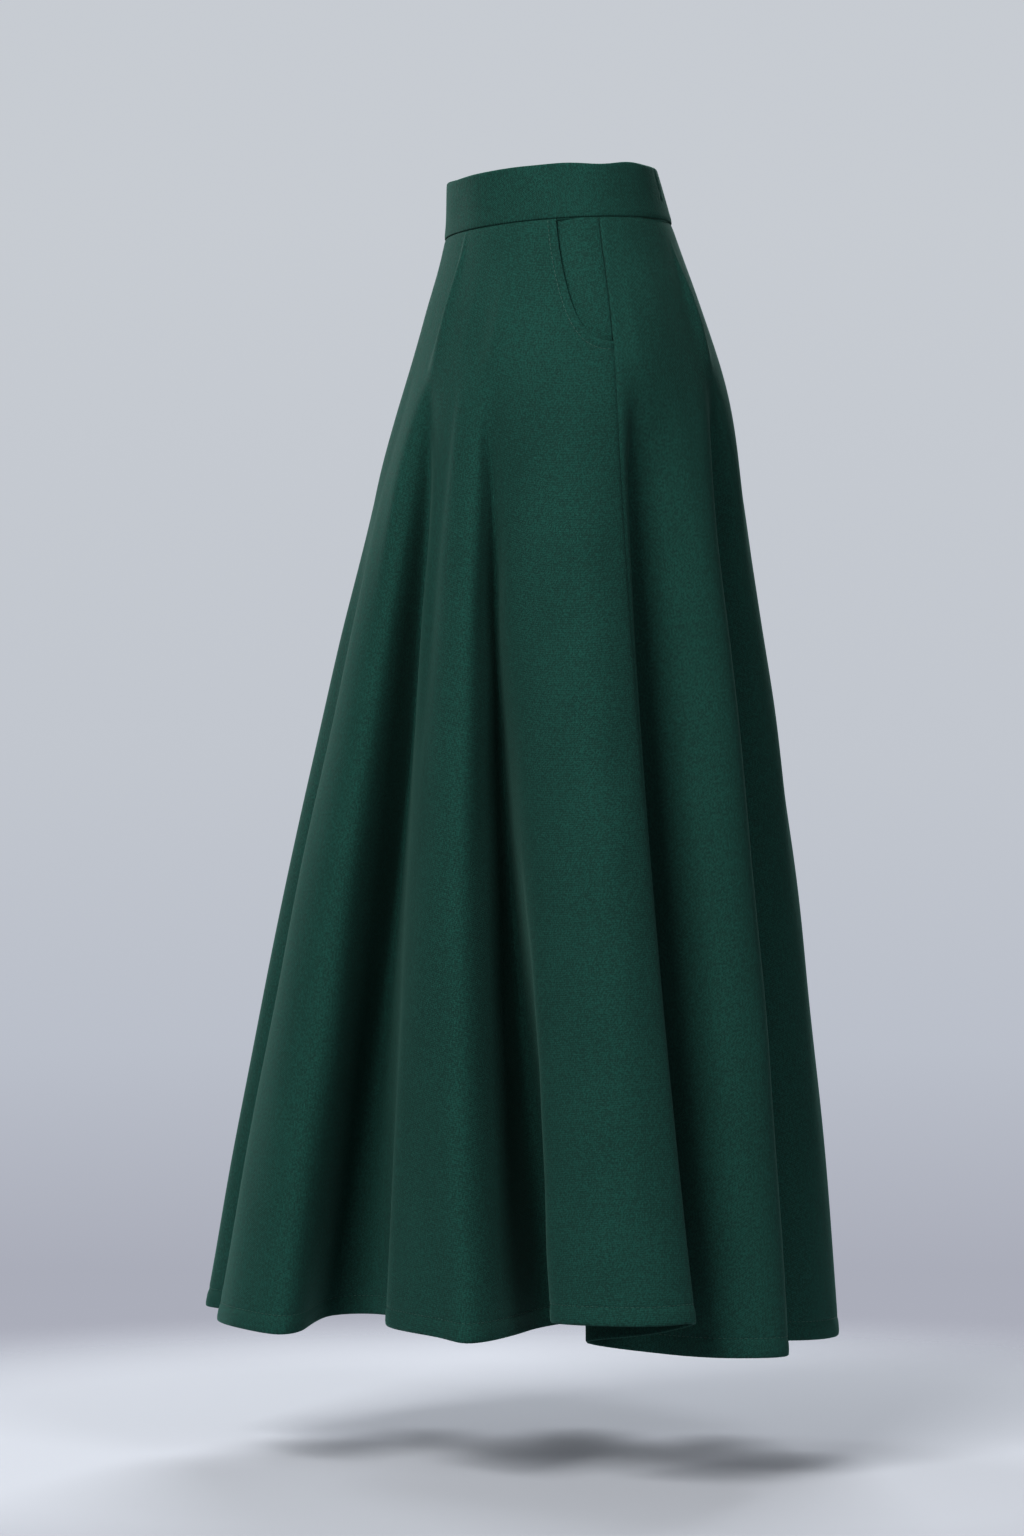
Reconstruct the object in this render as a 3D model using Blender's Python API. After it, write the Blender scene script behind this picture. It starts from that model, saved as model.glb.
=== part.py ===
"""A-line maxi skirt in wool cloth, worn shape, hollow. Metres, +Z up.

The origin is the centre of the waistband ring, where the skirt is held up. The wearer's front is -Y
and the wearer's left is +X. Bearings are turned about Z from the front (0) towards the wearer's left (90).

Every piece of cloth is a wall under one outer face, cloth_points(t, v): t runs round the skirt along the
fold table, v runs down from the waistband's seam (0) to the hem (1), and depth goes into the cloth.
"""

import math
from collections import namedtuple

import bmesh
import bpy
import numpy as np

# ---------------------------------------------------------------- driving sizes
WALL = 0.0014  # wool cloth of the panels
BAG_WALL = 0.0010  # thin cloth of the pocket bags and of the zip's tapes
GAP = 0.0003  # between pieces that are sewn together
BAND_HEIGHT = 0.045
BAND_WALL = 0.0030  # the waistband is folded double over its stiffening
BAND_PROUD = 0.0006  # the band stands this far out of the panels
BAND_COLUMNS = 56
BAND_TILT = 0.047  # rise of the waist per metre towards the back
SEAM_Z = -BAND_HEIGHT / 2  # the waistband's lower edge, at the ring's centre
HEM_TURN = 0.015  # cloth turned up inside the hem
HIP_Z = -0.150  # level where the fold table's bearings are read
FOLD_FADE = 0.200  # height over which a fold grows out of the smooth hip
PLAN_TURN = math.radians(70)  # the fold table's plan axes, turned from the front to the wearer's left
CB_GAP = 0.0016  # between the two edges at the centre back, along the zip

# Smooth body of the skirt, before folds: half sizes of the outer face at each level.
Section = namedtuple("Section", "z side front back")
SECTIONS = [
    Section(0.0225, 0.1100, 0.0858, 0.0800),
    Section(-0.0225, 0.1194, 0.0869, 0.0936),
    Section(-0.0870, 0.1420, 0.1030, 0.1160),
    Section(-0.1700, 0.1660, 0.1270, 0.1420),
    Section(-0.2530, 0.1840, 0.1510, 0.1580),
    Section(-0.4190, 0.2120, 0.1920, 0.1790),
    Section(-0.6680, 0.2450, 0.2400, 0.2060),
    Section(-0.9300, 0.2750, 0.2920, 0.2320),
]

# One row for each line that runs down the skirt: ridges (r), valleys (v) and seams.
# hip: bearing at HIP_Z in degrees. across, out: place at the hem on the plan axes turned by PLAN_TURN.
# hem: height of the hem there. bulge: how far the line bows out halfway. start: where its fold begins.
# sway: how far it bows along the across axis halfway.
Line = namedtuple("Line", "name hip across out hem bulge start sway")
LINES = [
    Line("r0", -27, -0.293, -0.070, -0.920, 0.009, -0.13, 0.000),
    Line("v0", -12, -0.254, -0.015, -0.921, 0.004, -0.15, 0.000),
    Line("r1_left", -7, -0.275, 0.025, -0.921, 0.006, -0.15, 0.000),
    Line("r1", -1, -0.256, 0.090, -0.922, 0.010, -0.14, 0.000),
    Line("r1_crest", 5, -0.222, 0.120, -0.924, 0.006, -0.14, 0.000),
    Line("v1_wall", 8.5, -0.204, 0.100, -0.923, 0.000, -0.045, 0.000),
    Line("v1", 12.5, -0.182, 0.042, -0.917, -0.018, -0.035, 0.000),
    Line("v1_floor", 18, -0.136, 0.070, -0.914, 0.000, -0.05, -0.006),
    Line("r2_left", 25, -0.136, 0.128, -0.916, 0.000, -0.05, -0.006),
    Line("r2", 28.5, -0.096, 0.194, -0.918, 0.006, -0.05, -0.010),
    Line("r2_crest", 33, -0.072, 0.220, -0.920, 0.006, -0.05, -0.006),
    Line("v2_wall", 37, -0.040, 0.188, -0.919, 0.000, -0.05, -0.010),
    Line("v2", 41.5, 0.002, 0.118, -0.916, -0.014, -0.05, -0.021),
    Line("v2_in", 47, 0.026, 0.142, -0.910, 0.000, -0.05, -0.024),
    Line("r3_left", 56, -0.005, 0.206, -0.905, 0.004, -0.05, -0.004),
    Line("r3", 68, 0.042, 0.256, -0.903, 0.008, -0.05, 0.000),
    Line("r3_right", 79, 0.088, 0.258, -0.902, 0.004, -0.05, -0.005),
    Line("seam_left", 86.5, 0.109, 0.238, -0.9025, 0.000, -0.05, -0.006),
    Line("v3_in", 91, 0.074, 0.204, -0.915, -0.014, -0.055, 0.000),
    Line("v3", 95, 0.026, 0.170, -0.925, -0.026, -0.05, 0.000),
    Line("v3_out", 100, 0.072, 0.156, -0.934, -0.020, -0.05, 0.000),
    Line("r4", 111.5, 0.134, 0.190, -0.935, 0.000, -0.05, 0.007),
    Line("r4_edge", 122, 0.185, 0.164, -0.936, 0.000, -0.10, 0.008),
    Line("v4", 133, 0.150, 0.058, -0.937, -0.022, -0.03, 0.000),
    Line("v4_out", 141, 0.200, 0.028, -0.939, 0.003, -0.10, 0.000),
    Line("r5", 157, 0.238, -0.030, -0.941, 0.010, -0.11, 0.000),
    Line("r5_edge", 166, 0.222, -0.086, -0.941, 0.010, -0.12, 0.000),
    Line("v5", 174, 0.164, -0.092, -0.941, 0.002, -0.14, 0.000),
    Line("seam_back", 180, 0.172, -0.130, -0.940, 0.004, -0.14, 0.000),
    Line("r6", 192, 0.184, -0.170, -0.940, 0.008, -0.13, 0.000),
    Line("r6_edge", 202, 0.140, -0.196, -0.938, 0.006, -0.12, 0.000),
    Line("v6", 214, 0.092, -0.146, -0.936, 0.000, -0.11, 0.000),
    Line("r7", 230, 0.066, -0.226, -0.934, 0.008, -0.13, 0.000),
    Line("r7_edge", 242, 0.012, -0.236, -0.932, 0.006, -0.14, 0.000),
    Line("v7", 254, -0.022, -0.172, -0.929, 0.000, -0.16, 0.000),
    Line("r8", 264, -0.066, -0.238, -0.926, 0.008, -0.14, 0.000),
    Line("seam_right", 271, -0.112, -0.236, -0.925, 0.008, -0.13, 0.000),
    Line("v8", 288, -0.126, -0.160, -0.923, 0.000, -0.14, 0.000),
    Line("r9", 302, -0.186, -0.190, -0.921, 0.008, -0.12, 0.000),
    Line("r9_edge", 312, -0.226, -0.156, -0.920, 0.008, -0.12, 0.000),
    Line("v9", 322, -0.202, -0.104, -0.920, 0.004, -0.13, 0.000),
]

# Rows of the panels, as v. The top ones of the front panel follow the pocket's scoop.
PANEL_DROP = 0.90  # mean height of the panels, which v divides
SCOOP_STEPS = [0.0, 0.30, 0.55, 0.74, 0.87, 0.95, 1.0]  # parts of the scoop's drop
PLAIN_TOP_ROWS = [0.0, 0.055, 0.110]
LOWER_ROWS = [0.165, 0.225, 0.290, 0.390, 0.530, 0.740]
COLUMNS_PER_LINE = 3  # columns of a panel between two lines of the table

# Hip pockets: a scoop cut out of the front panel at the side seam, and the flat pouch behind it.
SCOOP_WIDTH = 0.036
SCOOP_DROP = 0.106
SCOOP_SQUARENESS = 2.8
SCOOP_ANCHORS = {"seam_left": "v2_in", "seam_right": "r9"}  # lines where the columns start to crowd
POUCH_WIDTH = 0.115
POUCH_DROP = 0.209
POUCH_SQUARENESS = 4.0
POUCH_LAST_ROW = 2  # of LOWER_ROWS, so many belong to the pouch
POUCH_COLUMNS = 7
SHOWN_COLUMNS = 3
BAG_SETBACK = 0.003  # the bag's edge stays this far behind the scoop's edge
SHOWN_RISE = 0.025  # the shown part of the hip piece rises to the panels' level over this width
BAG_DEPTH = WALL + 2 * GAP
HIP_DEPTH = BAG_DEPTH + BAG_WALL + GAP

# Concealed zip at the centre back, closed, its slider at the top of the waistband.
ZIP_LAST_ROW = 2  # of LOWER_ROWS, so many are spanned by the zip
TAPE_EDGE = 0.0009
TAPE_WIDTH = 0.0130
TAPE_COLUMNS = 4
TAPE_TOP_DROP = 0.003  # from the waistband's upper edge to the tapes' ends
TAPE_BAND_DEPTH = BAND_WALL - BAND_PROUD + GAP
TAPE_PANEL_DEPTH = WALL + GAP
CHAIN_TOP_Z = 0.0058  # just under the slider's lower end
CHAIN_WIDTH = 0.0034
CHAIN_WALL = 0.0014
PIVOT_Z = 0.0130  # height of the pull's pivot
PIVOT_OUT = 0.0012  # from the band's outer face to the pivot
SLIDER_BODY = (0.0070, 0.0024, 0.0090)  # width, depth and height
NECK_WALL = 0.0010
NECK_HEIGHT = 0.0030
EYE_RADIUS = 0.0018
EYE_HOLE = 0.0009
PULL_WALL = 0.0010
PULL_BAR = 0.0009  # height of the bar that passes through the slider's eye
PULL_LENGTH = 0.0220
PULL_TOP_WIDTH = 0.0044
PULL_END_WIDTH = 0.0062
PULL_SLOT = (0.0018, 0.0032)  # width and length of the slot that clears the eye
STOP_SIZE = (0.0050, 0.0022, 0.0040)
METAL_BEVEL = 0.0004

WOOL = ("wool_cloth", (0.017, 0.064, 0.050), 0.92, 0.0)
BAG_CLOTH = ("bag_cloth", (0.012, 0.040, 0.032), 0.70, 0.0)
TAPE = ("zip_tape", (0.012, 0.045, 0.036), 0.80, 0.0)
METAL = ("zip_metal", (0.020, 0.060, 0.048), 0.40, 0.6)


# ---------------------------------------------------------------- the cloth's outer face
def loop_spline(knots, values, period, wrap=0.0):
    """A smooth closed cubic through values at knots. It gains wrap each time round."""
    count = len(knots)
    level = np.asarray(values, float) - wrap * knots / period
    steps = np.diff(np.append(knots, knots[0] + period))
    ends = np.append(level, level[0])
    slopes = np.diff(ends) / steps
    system = np.zeros((count, count))
    for i in range(count):
        system[i, i - 1] += steps[i - 1]
        system[i, i] += 2 * (steps[i - 1] + steps[i])
        system[i, (i + 1) % count] += steps[i]
    bends = np.linalg.solve(system, 6 * (slopes - np.roll(slopes, 1)))
    bends = np.append(bends, bends[0])

    def value(t):
        turns = np.floor((t - knots[0]) / period)
        local = t - turns * period
        i = np.clip(np.searchsorted(knots, local, side="right") - 1, 0, count - 1)
        past = local - knots[i]
        left = steps[i] - past
        curved = (bends[i] * left**3 + bends[i + 1] * past**3) / (6 * steps[i])
        straight = (ends[i] / steps[i] - bends[i] * steps[i] / 6) * left
        straight += (ends[i + 1] / steps[i] - bends[i + 1] * steps[i] / 6) * past
        return curved + straight + wrap * t / period

    return value


def section_value(column, z):
    """A column of SECTIONS at height z, on a smooth curve through its rows."""
    levels = np.array([row.z for row in SECTIONS[::-1]])
    values = np.array([getattr(row, column) for row in SECTIONS[::-1]])
    slopes = np.gradient(values, levels)
    z = np.clip(z, levels[0], levels[-1])
    i = np.clip(np.searchsorted(levels, z, side="right") - 1, 0, len(levels) - 2)
    step = levels[i + 1] - levels[i]
    s = (z - levels[i]) / step
    low = values[i] * (1 + 2 * s) + slopes[i] * step * s
    high = values[i + 1] * (3 - 2 * s) - slopes[i + 1] * step * (1 - s)
    return low * (1 - s) ** 2 + high * s**2


def smooth_body(bearing, z):
    """Plan point of the smooth body at a bearing in degrees and a height."""
    turn = np.radians(bearing)
    reach = np.where(np.cos(turn) > 0, section_value("front", z), section_value("back", z))
    return np.stack([section_value("side", z) * np.sin(turn), -reach * np.cos(turn)], -1)


def smoothstep(x):
    x = np.clip(x, 0, 1)
    return x * x * (3 - 2 * x)


ACROSS = np.array([math.cos(PLAN_TURN), math.sin(PLAN_TURN)])
OUT = np.array([math.sin(PLAN_TURN), -math.cos(PLAN_TURN)])
HEM_PLAN = np.array([line.across * ACROSS + line.out * OUT for line in LINES])
HEM_STEPS = np.linalg.norm(np.roll(HEM_PLAN, -1, axis=0) - HEM_PLAN, axis=1) ** 0.6
KNOTS = np.concatenate([[0.0], np.cumsum(HEM_STEPS)[:-1]])
PERIOD = float(HEM_STEPS.sum())
T_OF = {line.name: float(knot) for line, knot in zip(LINES, KNOTS)}
HIP_BEARING = loop_spline(KNOTS, [line.hip for line in LINES], PERIOD, wrap=360.0)
HEM_X = loop_spline(KNOTS, HEM_PLAN[:, 0], PERIOD)
HEM_Y = loop_spline(KNOTS, HEM_PLAN[:, 1], PERIOD)
HEM_Z = loop_spline(KNOTS, [line.hem for line in LINES], PERIOD)
BULGE = loop_spline(KNOTS, [line.bulge for line in LINES], PERIOD)
START = loop_spline(KNOTS, [line.start for line in LINES], PERIOD)
SWAY = loop_spline(KNOTS, [line.sway for line in LINES], PERIOD)


def outer_face(t, v):
    """Points of the cloth's outer face. Each line leaves the smooth body and runs almost straight to the hem."""
    bearing = HIP_BEARING(t)
    hem = np.stack([HEM_X(t), HEM_Y(t)], -1)
    rise = BAND_TILT * smooth_body(bearing, np.full_like(t, SEAM_Z))[..., 1]
    top = SEAM_Z - GAP + rise
    z = top + (HEM_Z(t) - top) * v
    body = smooth_body(bearing, z - rise * (1 - v))
    hip = smooth_body(bearing, np.full_like(t, HIP_Z))
    along = (z - HIP_Z) / (HEM_Z(t) - HIP_Z)
    turn = np.radians(bearing)
    outward = np.stack([np.sin(turn), -np.cos(turn)], -1)
    arch = 4 * along * (1 - along)
    line = hip + (hem - hip) * along[..., None]
    line = line + (BULGE(t) * arch)[..., None] * outward
    line = line + (SWAY(t) * arch)[..., None] * ACROSS
    folded = smoothstep((START(t) - z) / FOLD_FADE)[..., None]
    return np.concatenate([body * (1 - folded) + line * folded, z[..., None]], -1)


def cloth_points(t, v, depth):
    """Points at a depth under the outer face, measured square to it."""
    t, v, depth = np.broadcast_arrays(*(np.asarray(a, float) for a in (t, v, depth)))
    dt = 1e-4 * PERIOD
    dv = 1e-3
    low = np.maximum(v - dv, 0)
    high = np.minimum(v + dv, 1)
    run = outer_face(t + dt, v) - outer_face(t - dt, v)
    fall = outer_face(t, high) - outer_face(t, low)
    normal = np.cross(fall, run)
    normal /= np.linalg.norm(normal, axis=-1, keepdims=True)
    return outer_face(t, v) - normal * depth[..., None]


def walk(t, v, distance):
    """The t that lies a distance round the skirt from t, along row v. A negative distance walks back."""
    span = np.linspace(0, math.copysign(0.2 * PERIOD, distance), 400)
    path = outer_face(t + span, np.full_like(span, v))
    run = np.concatenate([[0.0], np.cumsum(np.linalg.norm(np.diff(path, axis=0), axis=1))])
    return t + float(np.interp(abs(distance), run, span))


def band_points(bearing, z, depth):
    """Points of the waistband's zone, at a depth under the smooth body."""
    bearing, z, depth = np.broadcast_arrays(*(np.asarray(a, float) for a in (bearing, z, depth)))
    step = 0.01
    run = smooth_body(bearing + step, z) - smooth_body(bearing - step, z)
    outward = np.stack([run[..., 1], -run[..., 0]], -1)
    outward /= np.linalg.norm(outward, axis=-1, keepdims=True)
    plan = smooth_body(bearing, z) - outward * depth[..., None]
    rise = BAND_TILT * smooth_body(bearing, z)[..., 1]
    return np.concatenate([plan, (z + rise)[..., None]], -1)


# ---------------------------------------------------------------- making objects
def material(look):
    name, colour, roughness, metallic = look
    found = bpy.data.materials.get(name)
    if found:
        return found
    made = bpy.data.materials.new(name)
    made.use_nodes = True
    shader = made.node_tree.nodes["Principled BSDF"]
    shader.inputs["Base Color"].default_value = (*colour, 1)
    shader.inputs["Roughness"].default_value = roughness
    shader.inputs["Metallic"].default_value = metallic
    return made


def add_object(name, points, faces, look):
    mesh = bpy.data.meshes.new(name)
    mesh.from_pydata([tuple(map(float, p)) for p in points], [], [tuple(map(int, f)) for f in faces])
    shape = bmesh.new()
    shape.from_mesh(mesh)
    bmesh.ops.recalc_face_normals(shape, faces=shape.faces)
    shape.to_mesh(mesh)
    shape.free()
    mesh.materials.append(material(look))
    mesh.shade_smooth()
    mesh.set_sharp_from_angle(angle=math.radians(40))
    thing = bpy.data.objects.new(name, mesh)
    bpy.context.scene.collection.objects.link(thing)
    return thing


def wall(name, outer, inner, look):
    """A closed wall between two grids of points with the same rows and columns."""
    rows, columns = outer.shape[:2]
    index = np.arange(rows * columns).reshape(rows, columns)
    inside = rows * columns  # added to an outer point's index, gives the inner point behind it
    faces = []
    for r in range(rows - 1):
        for c in range(columns - 1):
            a, b, c_below, a_below = index[r, c], index[r, c + 1], index[r + 1, c + 1], index[r + 1, c]
            for triangle in ((a, b, c_below), (a, c_below, a_below)):
                faces.append(triangle)
                faces.append(tuple(i + inside for i in triangle[::-1]))
    rim = list(index[0, :]) + list(index[1:, -1]) + list(index[-1, -2::-1]) + list(index[-2:0:-1, 0])
    for here, after in zip(rim, rim[1:] + rim[:1]):
        faces.append((here, after, after + inside, here + inside))
    return add_object(name, np.concatenate([outer.reshape(-1, 3), inner.reshape(-1, 3)]), faces, look)


def wall_at_depths(name, t, v, depth, thickness, look):
    """A wall whose outer face lies at a depth under the cloth's outer face."""
    v = np.broadcast_to(v, t.shape)
    return wall(name, cloth_points(t, v, depth), cloth_points(t, v, depth + thickness), look)


# ---------------------------------------------------------------- panels and waistband
def hem_rows(rows):
    """Rows down to the hem, with a pair close together where the turned-up cloth ends, and each row's thickness."""
    turn = 1 - HEM_TURN / PANEL_DROP
    step = WALL / PANEL_DROP
    rows = np.array(rows + [turn - step, turn, 1.0])
    thickness = np.where(rows >= turn, 2 * WALL, WALL)
    return rows, thickness


def scoop_width(drop):
    """Width of the pocket's scoop, from the side seam, at a drop under the waistband."""
    part = np.clip(drop / SCOOP_DROP, 0, 1) ** SCOOP_SQUARENESS
    return SCOOP_WIDTH * (1 - part) ** (1 / SCOOP_SQUARENESS)


def line_columns(first, last):
    """The t of a panel's columns, from one seam line to another, on round the skirt."""
    begin = [line.name for line in LINES].index(first)
    count = ([line.name for line in LINES].index(last) - begin) % len(LINES)
    knots = [KNOTS[(begin + i) % len(LINES)] + PERIOD * ((begin + i) // len(LINES)) for i in range(count + 1)]
    steps = np.arange(count * COLUMNS_PER_LINE + 1) / COLUMNS_PER_LINE
    return np.interp(steps, np.arange(count + 1), knots)


def panel(name, first, last, top_rows, half_gaps, scooped=False):
    """A panel of the skirt between two seams. half_gaps are callables of v, one for each seam."""
    rows, thickness = hem_rows(top_rows + LOWER_ROWS)
    base = line_columns(first, last)
    t = np.empty((len(rows), len(base)))
    for r, v in enumerate(rows):
        cut = float(scoop_width(v * PANEL_DROP)) if scooped else 0.0
        begin = walk(base[0], v, half_gaps[0](v) + cut)
        end = walk(base[-1], v, -half_gaps[1](v) - cut)
        anchors = (base[1], base[-2])
        if scooped:
            anchors = tuple(anchor_t(seam, base) for seam in (first, last))
        t[r] = np.interp(base, [base[0], *anchors, base[-1]], [begin, *anchors, end])
    return wall_at_depths(name, t, rows[:, None], 0.0 * t, thickness[:, None] + 0.0 * t, WOOL)


def anchor_t(seam, base):
    """The t, within a panel's columns, of the line where the columns start to crowd towards a scooped seam."""
    t = T_OF[SCOOP_ANCHORS[seam]]
    return t if base[0] < t < base[-1] else t + PERIOD


def seam_gap(v):
    return GAP / 2


def zip_gap(v):
    return CB_GAP / 2 if v <= LOWER_ROWS[ZIP_LAST_ROW - 1] else GAP / 2


def waistband():
    """One folded strip from edge to edge at the centre back."""
    levels = np.array([-SEAM_Z, 0.0, SEAM_Z])[:, None]
    opening = np.degrees(np.arcsin(CB_GAP / 2 / section_value("side", levels)))
    turns = np.linspace(-1, 1, BAND_COLUMNS + 1)[None, :]
    bearing = turns * (180 - opening)
    outer = band_points(bearing, levels, -BAND_PROUD)
    inner = band_points(bearing, levels, BAND_WALL - BAND_PROUD)
    return wall("waistband", outer, inner, WOOL)


# ---------------------------------------------------------------- hip pockets
def pocket_rows():
    rows = [part * SCOOP_DROP / PANEL_DROP for part in SCOOP_STEPS] + LOWER_ROWS[:POUCH_LAST_ROW]
    return np.array(rows)


def pouch_distances(v):
    """Distances from the side seam of the pouch's columns at row v, from its far edge to just behind the scoop."""
    part = (v * PANEL_DROP / POUCH_DROP) ** POUCH_SQUARENESS
    far = POUCH_WIDTH * (1 - part) ** (1 / POUCH_SQUARENESS)
    near = float(scoop_width(v * PANEL_DROP)) + BAG_SETBACK
    return np.linspace(far, near, POUCH_COLUMNS)


def pocket(side, seam, towards_front):
    """The hip piece, of the skirt's own cloth, shows in the scoop. The bag is the pouch's front layer."""
    rows = pocket_rows()
    bag = np.array([pouch_distances(v) for v in rows])
    shown = np.array([np.linspace(line[-1], GAP / 2, SHOWN_COLUMNS + 1)[1:] for line in bag])
    hip = np.concatenate([bag, shown], axis=1)
    exposed = scoop_width(rows * PANEL_DROP)[:, None] - hip
    hip_depth = HIP_DEPTH * (1 - smoothstep(exposed / SHOWN_RISE))
    for name, distances, depth, thickness, look in [
        ("pocket_bag_" + side, bag, BAG_DEPTH + 0 * bag, BAG_WALL, BAG_CLOTH),
        ("hip_piece_" + side, hip, hip_depth, WALL, WOOL),
    ]:
        t = np.array([[walk(T_OF[seam], v, towards_front * d) for d in row] for v, row in zip(rows, distances)])
        wall_at_depths(name, t, rows[:, None], depth, thickness + 0 * depth, look)


# ---------------------------------------------------------------- zip
def zip_zone():
    """Rows of the zip: heights in the waistband's zone, then v in the panels' zone, and each row's tape depth."""
    heights = np.array([-SEAM_Z - TAPE_TOP_DROP, PIVOT_Z, 0.0, SEAM_Z])
    rows = np.array(PLAIN_TOP_ROWS + LOWER_ROWS[:ZIP_LAST_ROW])
    depths = np.concatenate([np.full(len(heights), TAPE_BAND_DEPTH), np.full(len(rows), TAPE_PANEL_DEPTH)])
    depths[len(heights)] = TAPE_BAND_DEPTH
    return heights, rows, depths


def zip_points(heights, rows, distances, depths):
    """Points at distances from the centre back, positive to the wearer's right, on the zip's rows."""
    grid = []
    for z, depth in zip(heights, depths):
        bearing = 180 + np.degrees(np.arcsin(distances / section_value("side", z)))
        grid.append(band_points(bearing, z, depth))
    for v, depth in zip(rows, depths[len(heights) :]):
        t = np.array([walk(T_OF["seam_back"], v, d) for d in distances])
        grid.append(cloth_points(t, v, depth))
    return np.array(grid)


def zip_strip(name, heights, rows, distances, depths, thickness, look):
    outer = zip_points(heights, rows, distances, depths)
    inner = zip_points(heights, rows, distances, depths + thickness)
    return wall(name, outer, inner, look)


def pivot_frame():
    """The pull's pivot, the direction up along the waistband's outer face, and the direction out of it."""
    low, here, high = (
        band_points(180.0, PIVOT_Z + step, -BAND_PROUD - PIVOT_OUT) for step in (-0.001, 0.0, 0.001)
    )
    up = (high - low) / np.linalg.norm(high - low)
    out = np.cross(up, (1.0, 0.0, 0.0))
    return here, up, out


def prism(name, outline, thickness, place, look):
    """A plate: an outline of (out, up) or (side, up) pairs, extruded. place maps flat points to the world."""
    count = len(outline)
    points = [place(a, b, half) for half in (-thickness / 2, thickness / 2) for a, b in outline]
    faces = [tuple(range(count))[::-1], tuple(range(count, 2 * count))]
    faces += [(i, (i + 1) % count, count + (i + 1) % count, count + i) for i in range(count)]
    return add_object(name, points, faces, look)


def rectangle(low, high):
    return [(low[0], low[1]), (high[0], low[1]), (high[0], high[1]), (low[0], high[1])]


def arc(centre, radius, first, last, steps):
    turns = [math.radians(first + (last - first) * i / steps) for i in range(steps + 1)]
    return [(centre[0] + radius * math.cos(a), centre[1] + radius * math.sin(a)) for a in turns]


def boolean(thing, other, operation):
    cut = thing.modifiers.new(other.name, "BOOLEAN")
    cut.object = other
    cut.operation = operation
    other.hide_render = True
    other.display_type = "WIRE"


def soften(thing):
    edge = thing.modifiers.new("soft_edges", "BEVEL")
    edge.width = METAL_BEVEL
    edge.segments = 1


def slider_and_pull():
    pivot, up, out = pivot_frame()
    across = np.array((1.0, 0.0, 0.0))

    def on_edge(a, b, c):
        return pivot + out * a + up * b + across * c

    def face_on(a, b, c):
        return pivot + across * a + up * b + out * c

    width, depth, height = SLIDER_BODY
    face = -(PIVOT_OUT + BAND_PROUD + TAPE_BAND_DEPTH + BAG_WALL + GAP)
    body = prism(
        "zip_slider", rectangle((face - depth, -height / 2), (face, height / 2)), width, on_edge, METAL
    )
    soften(body)
    half = NECK_HEIGHT / 2
    opened = math.degrees(math.asin(half / EYE_RADIUS))
    outline = arc((0.0, 0.0), EYE_RADIUS, -180 + opened, 180 - opened, 20)
    outline += [(face - depth / 2, half), (face - depth / 2, -half)]
    boolean(body, prism("zip_slider_neck", outline, NECK_WALL, on_edge, METAL), "UNION")
    hole = arc((0.0, 0.0), EYE_HOLE, 0, 337.5, 15)
    boolean(body, prism("zip_slider_hole", hole, 3 * NECK_WALL, on_edge, METAL), "DIFFERENCE")

    top = PULL_BAR / 2
    end = arc((0.0, top - PULL_LENGTH + PULL_END_WIDTH / 2), PULL_END_WIDTH / 2, 0, -180, 8)
    outline = [(-PULL_TOP_WIDTH / 2, top), (PULL_TOP_WIDTH / 2, top), *end]
    pull = prism("zip_pull", outline, PULL_WALL, face_on, METAL)
    slot_width, slot_length = PULL_SLOT
    slot = rectangle((-slot_width / 2, -top - slot_length), (slot_width / 2, -top))
    boolean(pull, prism("zip_pull_slot", slot, 3 * PULL_WALL, face_on, METAL), "DIFFERENCE")


def zip_pieces():
    heights, rows, depths = zip_zone()
    distances = np.linspace(TAPE_EDGE, TAPE_EDGE + TAPE_WIDTH, TAPE_COLUMNS)
    zip_strip("zip_tape_right", heights, rows, distances, depths, BAG_WALL, TAPE)
    zip_strip("zip_tape_left", heights, rows, -distances, depths, BAG_WALL, TAPE)
    # The chain hangs under the tapes, from the slider's lower end to the stop.
    chain_heights = np.array([CHAIN_TOP_Z, (CHAIN_TOP_Z + SEAM_Z) / 2, SEAM_Z])
    under = depths[1:] + BAG_WALL + GAP
    chain = np.array([-CHAIN_WIDTH / 2, 0.0, CHAIN_WIDTH / 2])
    zip_strip("zip_chain", chain_heights, rows, chain, under, CHAIN_WALL, METAL)
    width, depth, height = STOP_SIZE
    last = zip_points([], rows[-1:], np.array([0.0]), under[-1:])[0, 0]
    before = zip_points([], rows[-2:-1], np.array([0.0]), under[-2:-1])[0, 0]
    down = (last - before) / np.linalg.norm(last - before)
    inward = np.cross(down, (1.0, 0.0, 0.0))
    inward *= -math.copysign(1.0, inward[1])

    def place(a, b, c):
        return last + inward * a + down * b + np.array((1.0, 0.0, 0.0)) * c

    stop = prism("zip_stop", rectangle((0.0, GAP), (depth, GAP + height)), width, place, METAL)
    soften(stop)
    slider_and_pull()


def main():
    for thing in list(bpy.data.objects):
        bpy.data.objects.remove(thing, do_unlink=True)
    scoop_rows = [part * SCOOP_DROP / PANEL_DROP for part in SCOOP_STEPS]
    waistband()
    panel("front_panel", "seam_right", "seam_left", scoop_rows, (seam_gap, seam_gap), scooped=True)
    panel("back_panel_left", "seam_left", "seam_back", PLAIN_TOP_ROWS, (seam_gap, zip_gap))
    panel("back_panel_right", "seam_back", "seam_right", PLAIN_TOP_ROWS, (zip_gap, seam_gap))
    pocket("left", "seam_left", -1)
    pocket("right", "seam_right", 1)
    zip_pieces()


main()
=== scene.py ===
"""Looks of the a-line maxi skirt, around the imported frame.

Metres, +Z up, the wearer's front -Y, their left +X. The tables and the functions of the cloth's outer face
are those of part.py, at a finer grain. The relief adds what a CAD wall leaves out: stitched edges, the
hem's turn, soft creases and the unevenness of pressed wool.
"""

import json
import math
from collections import namedtuple

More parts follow.
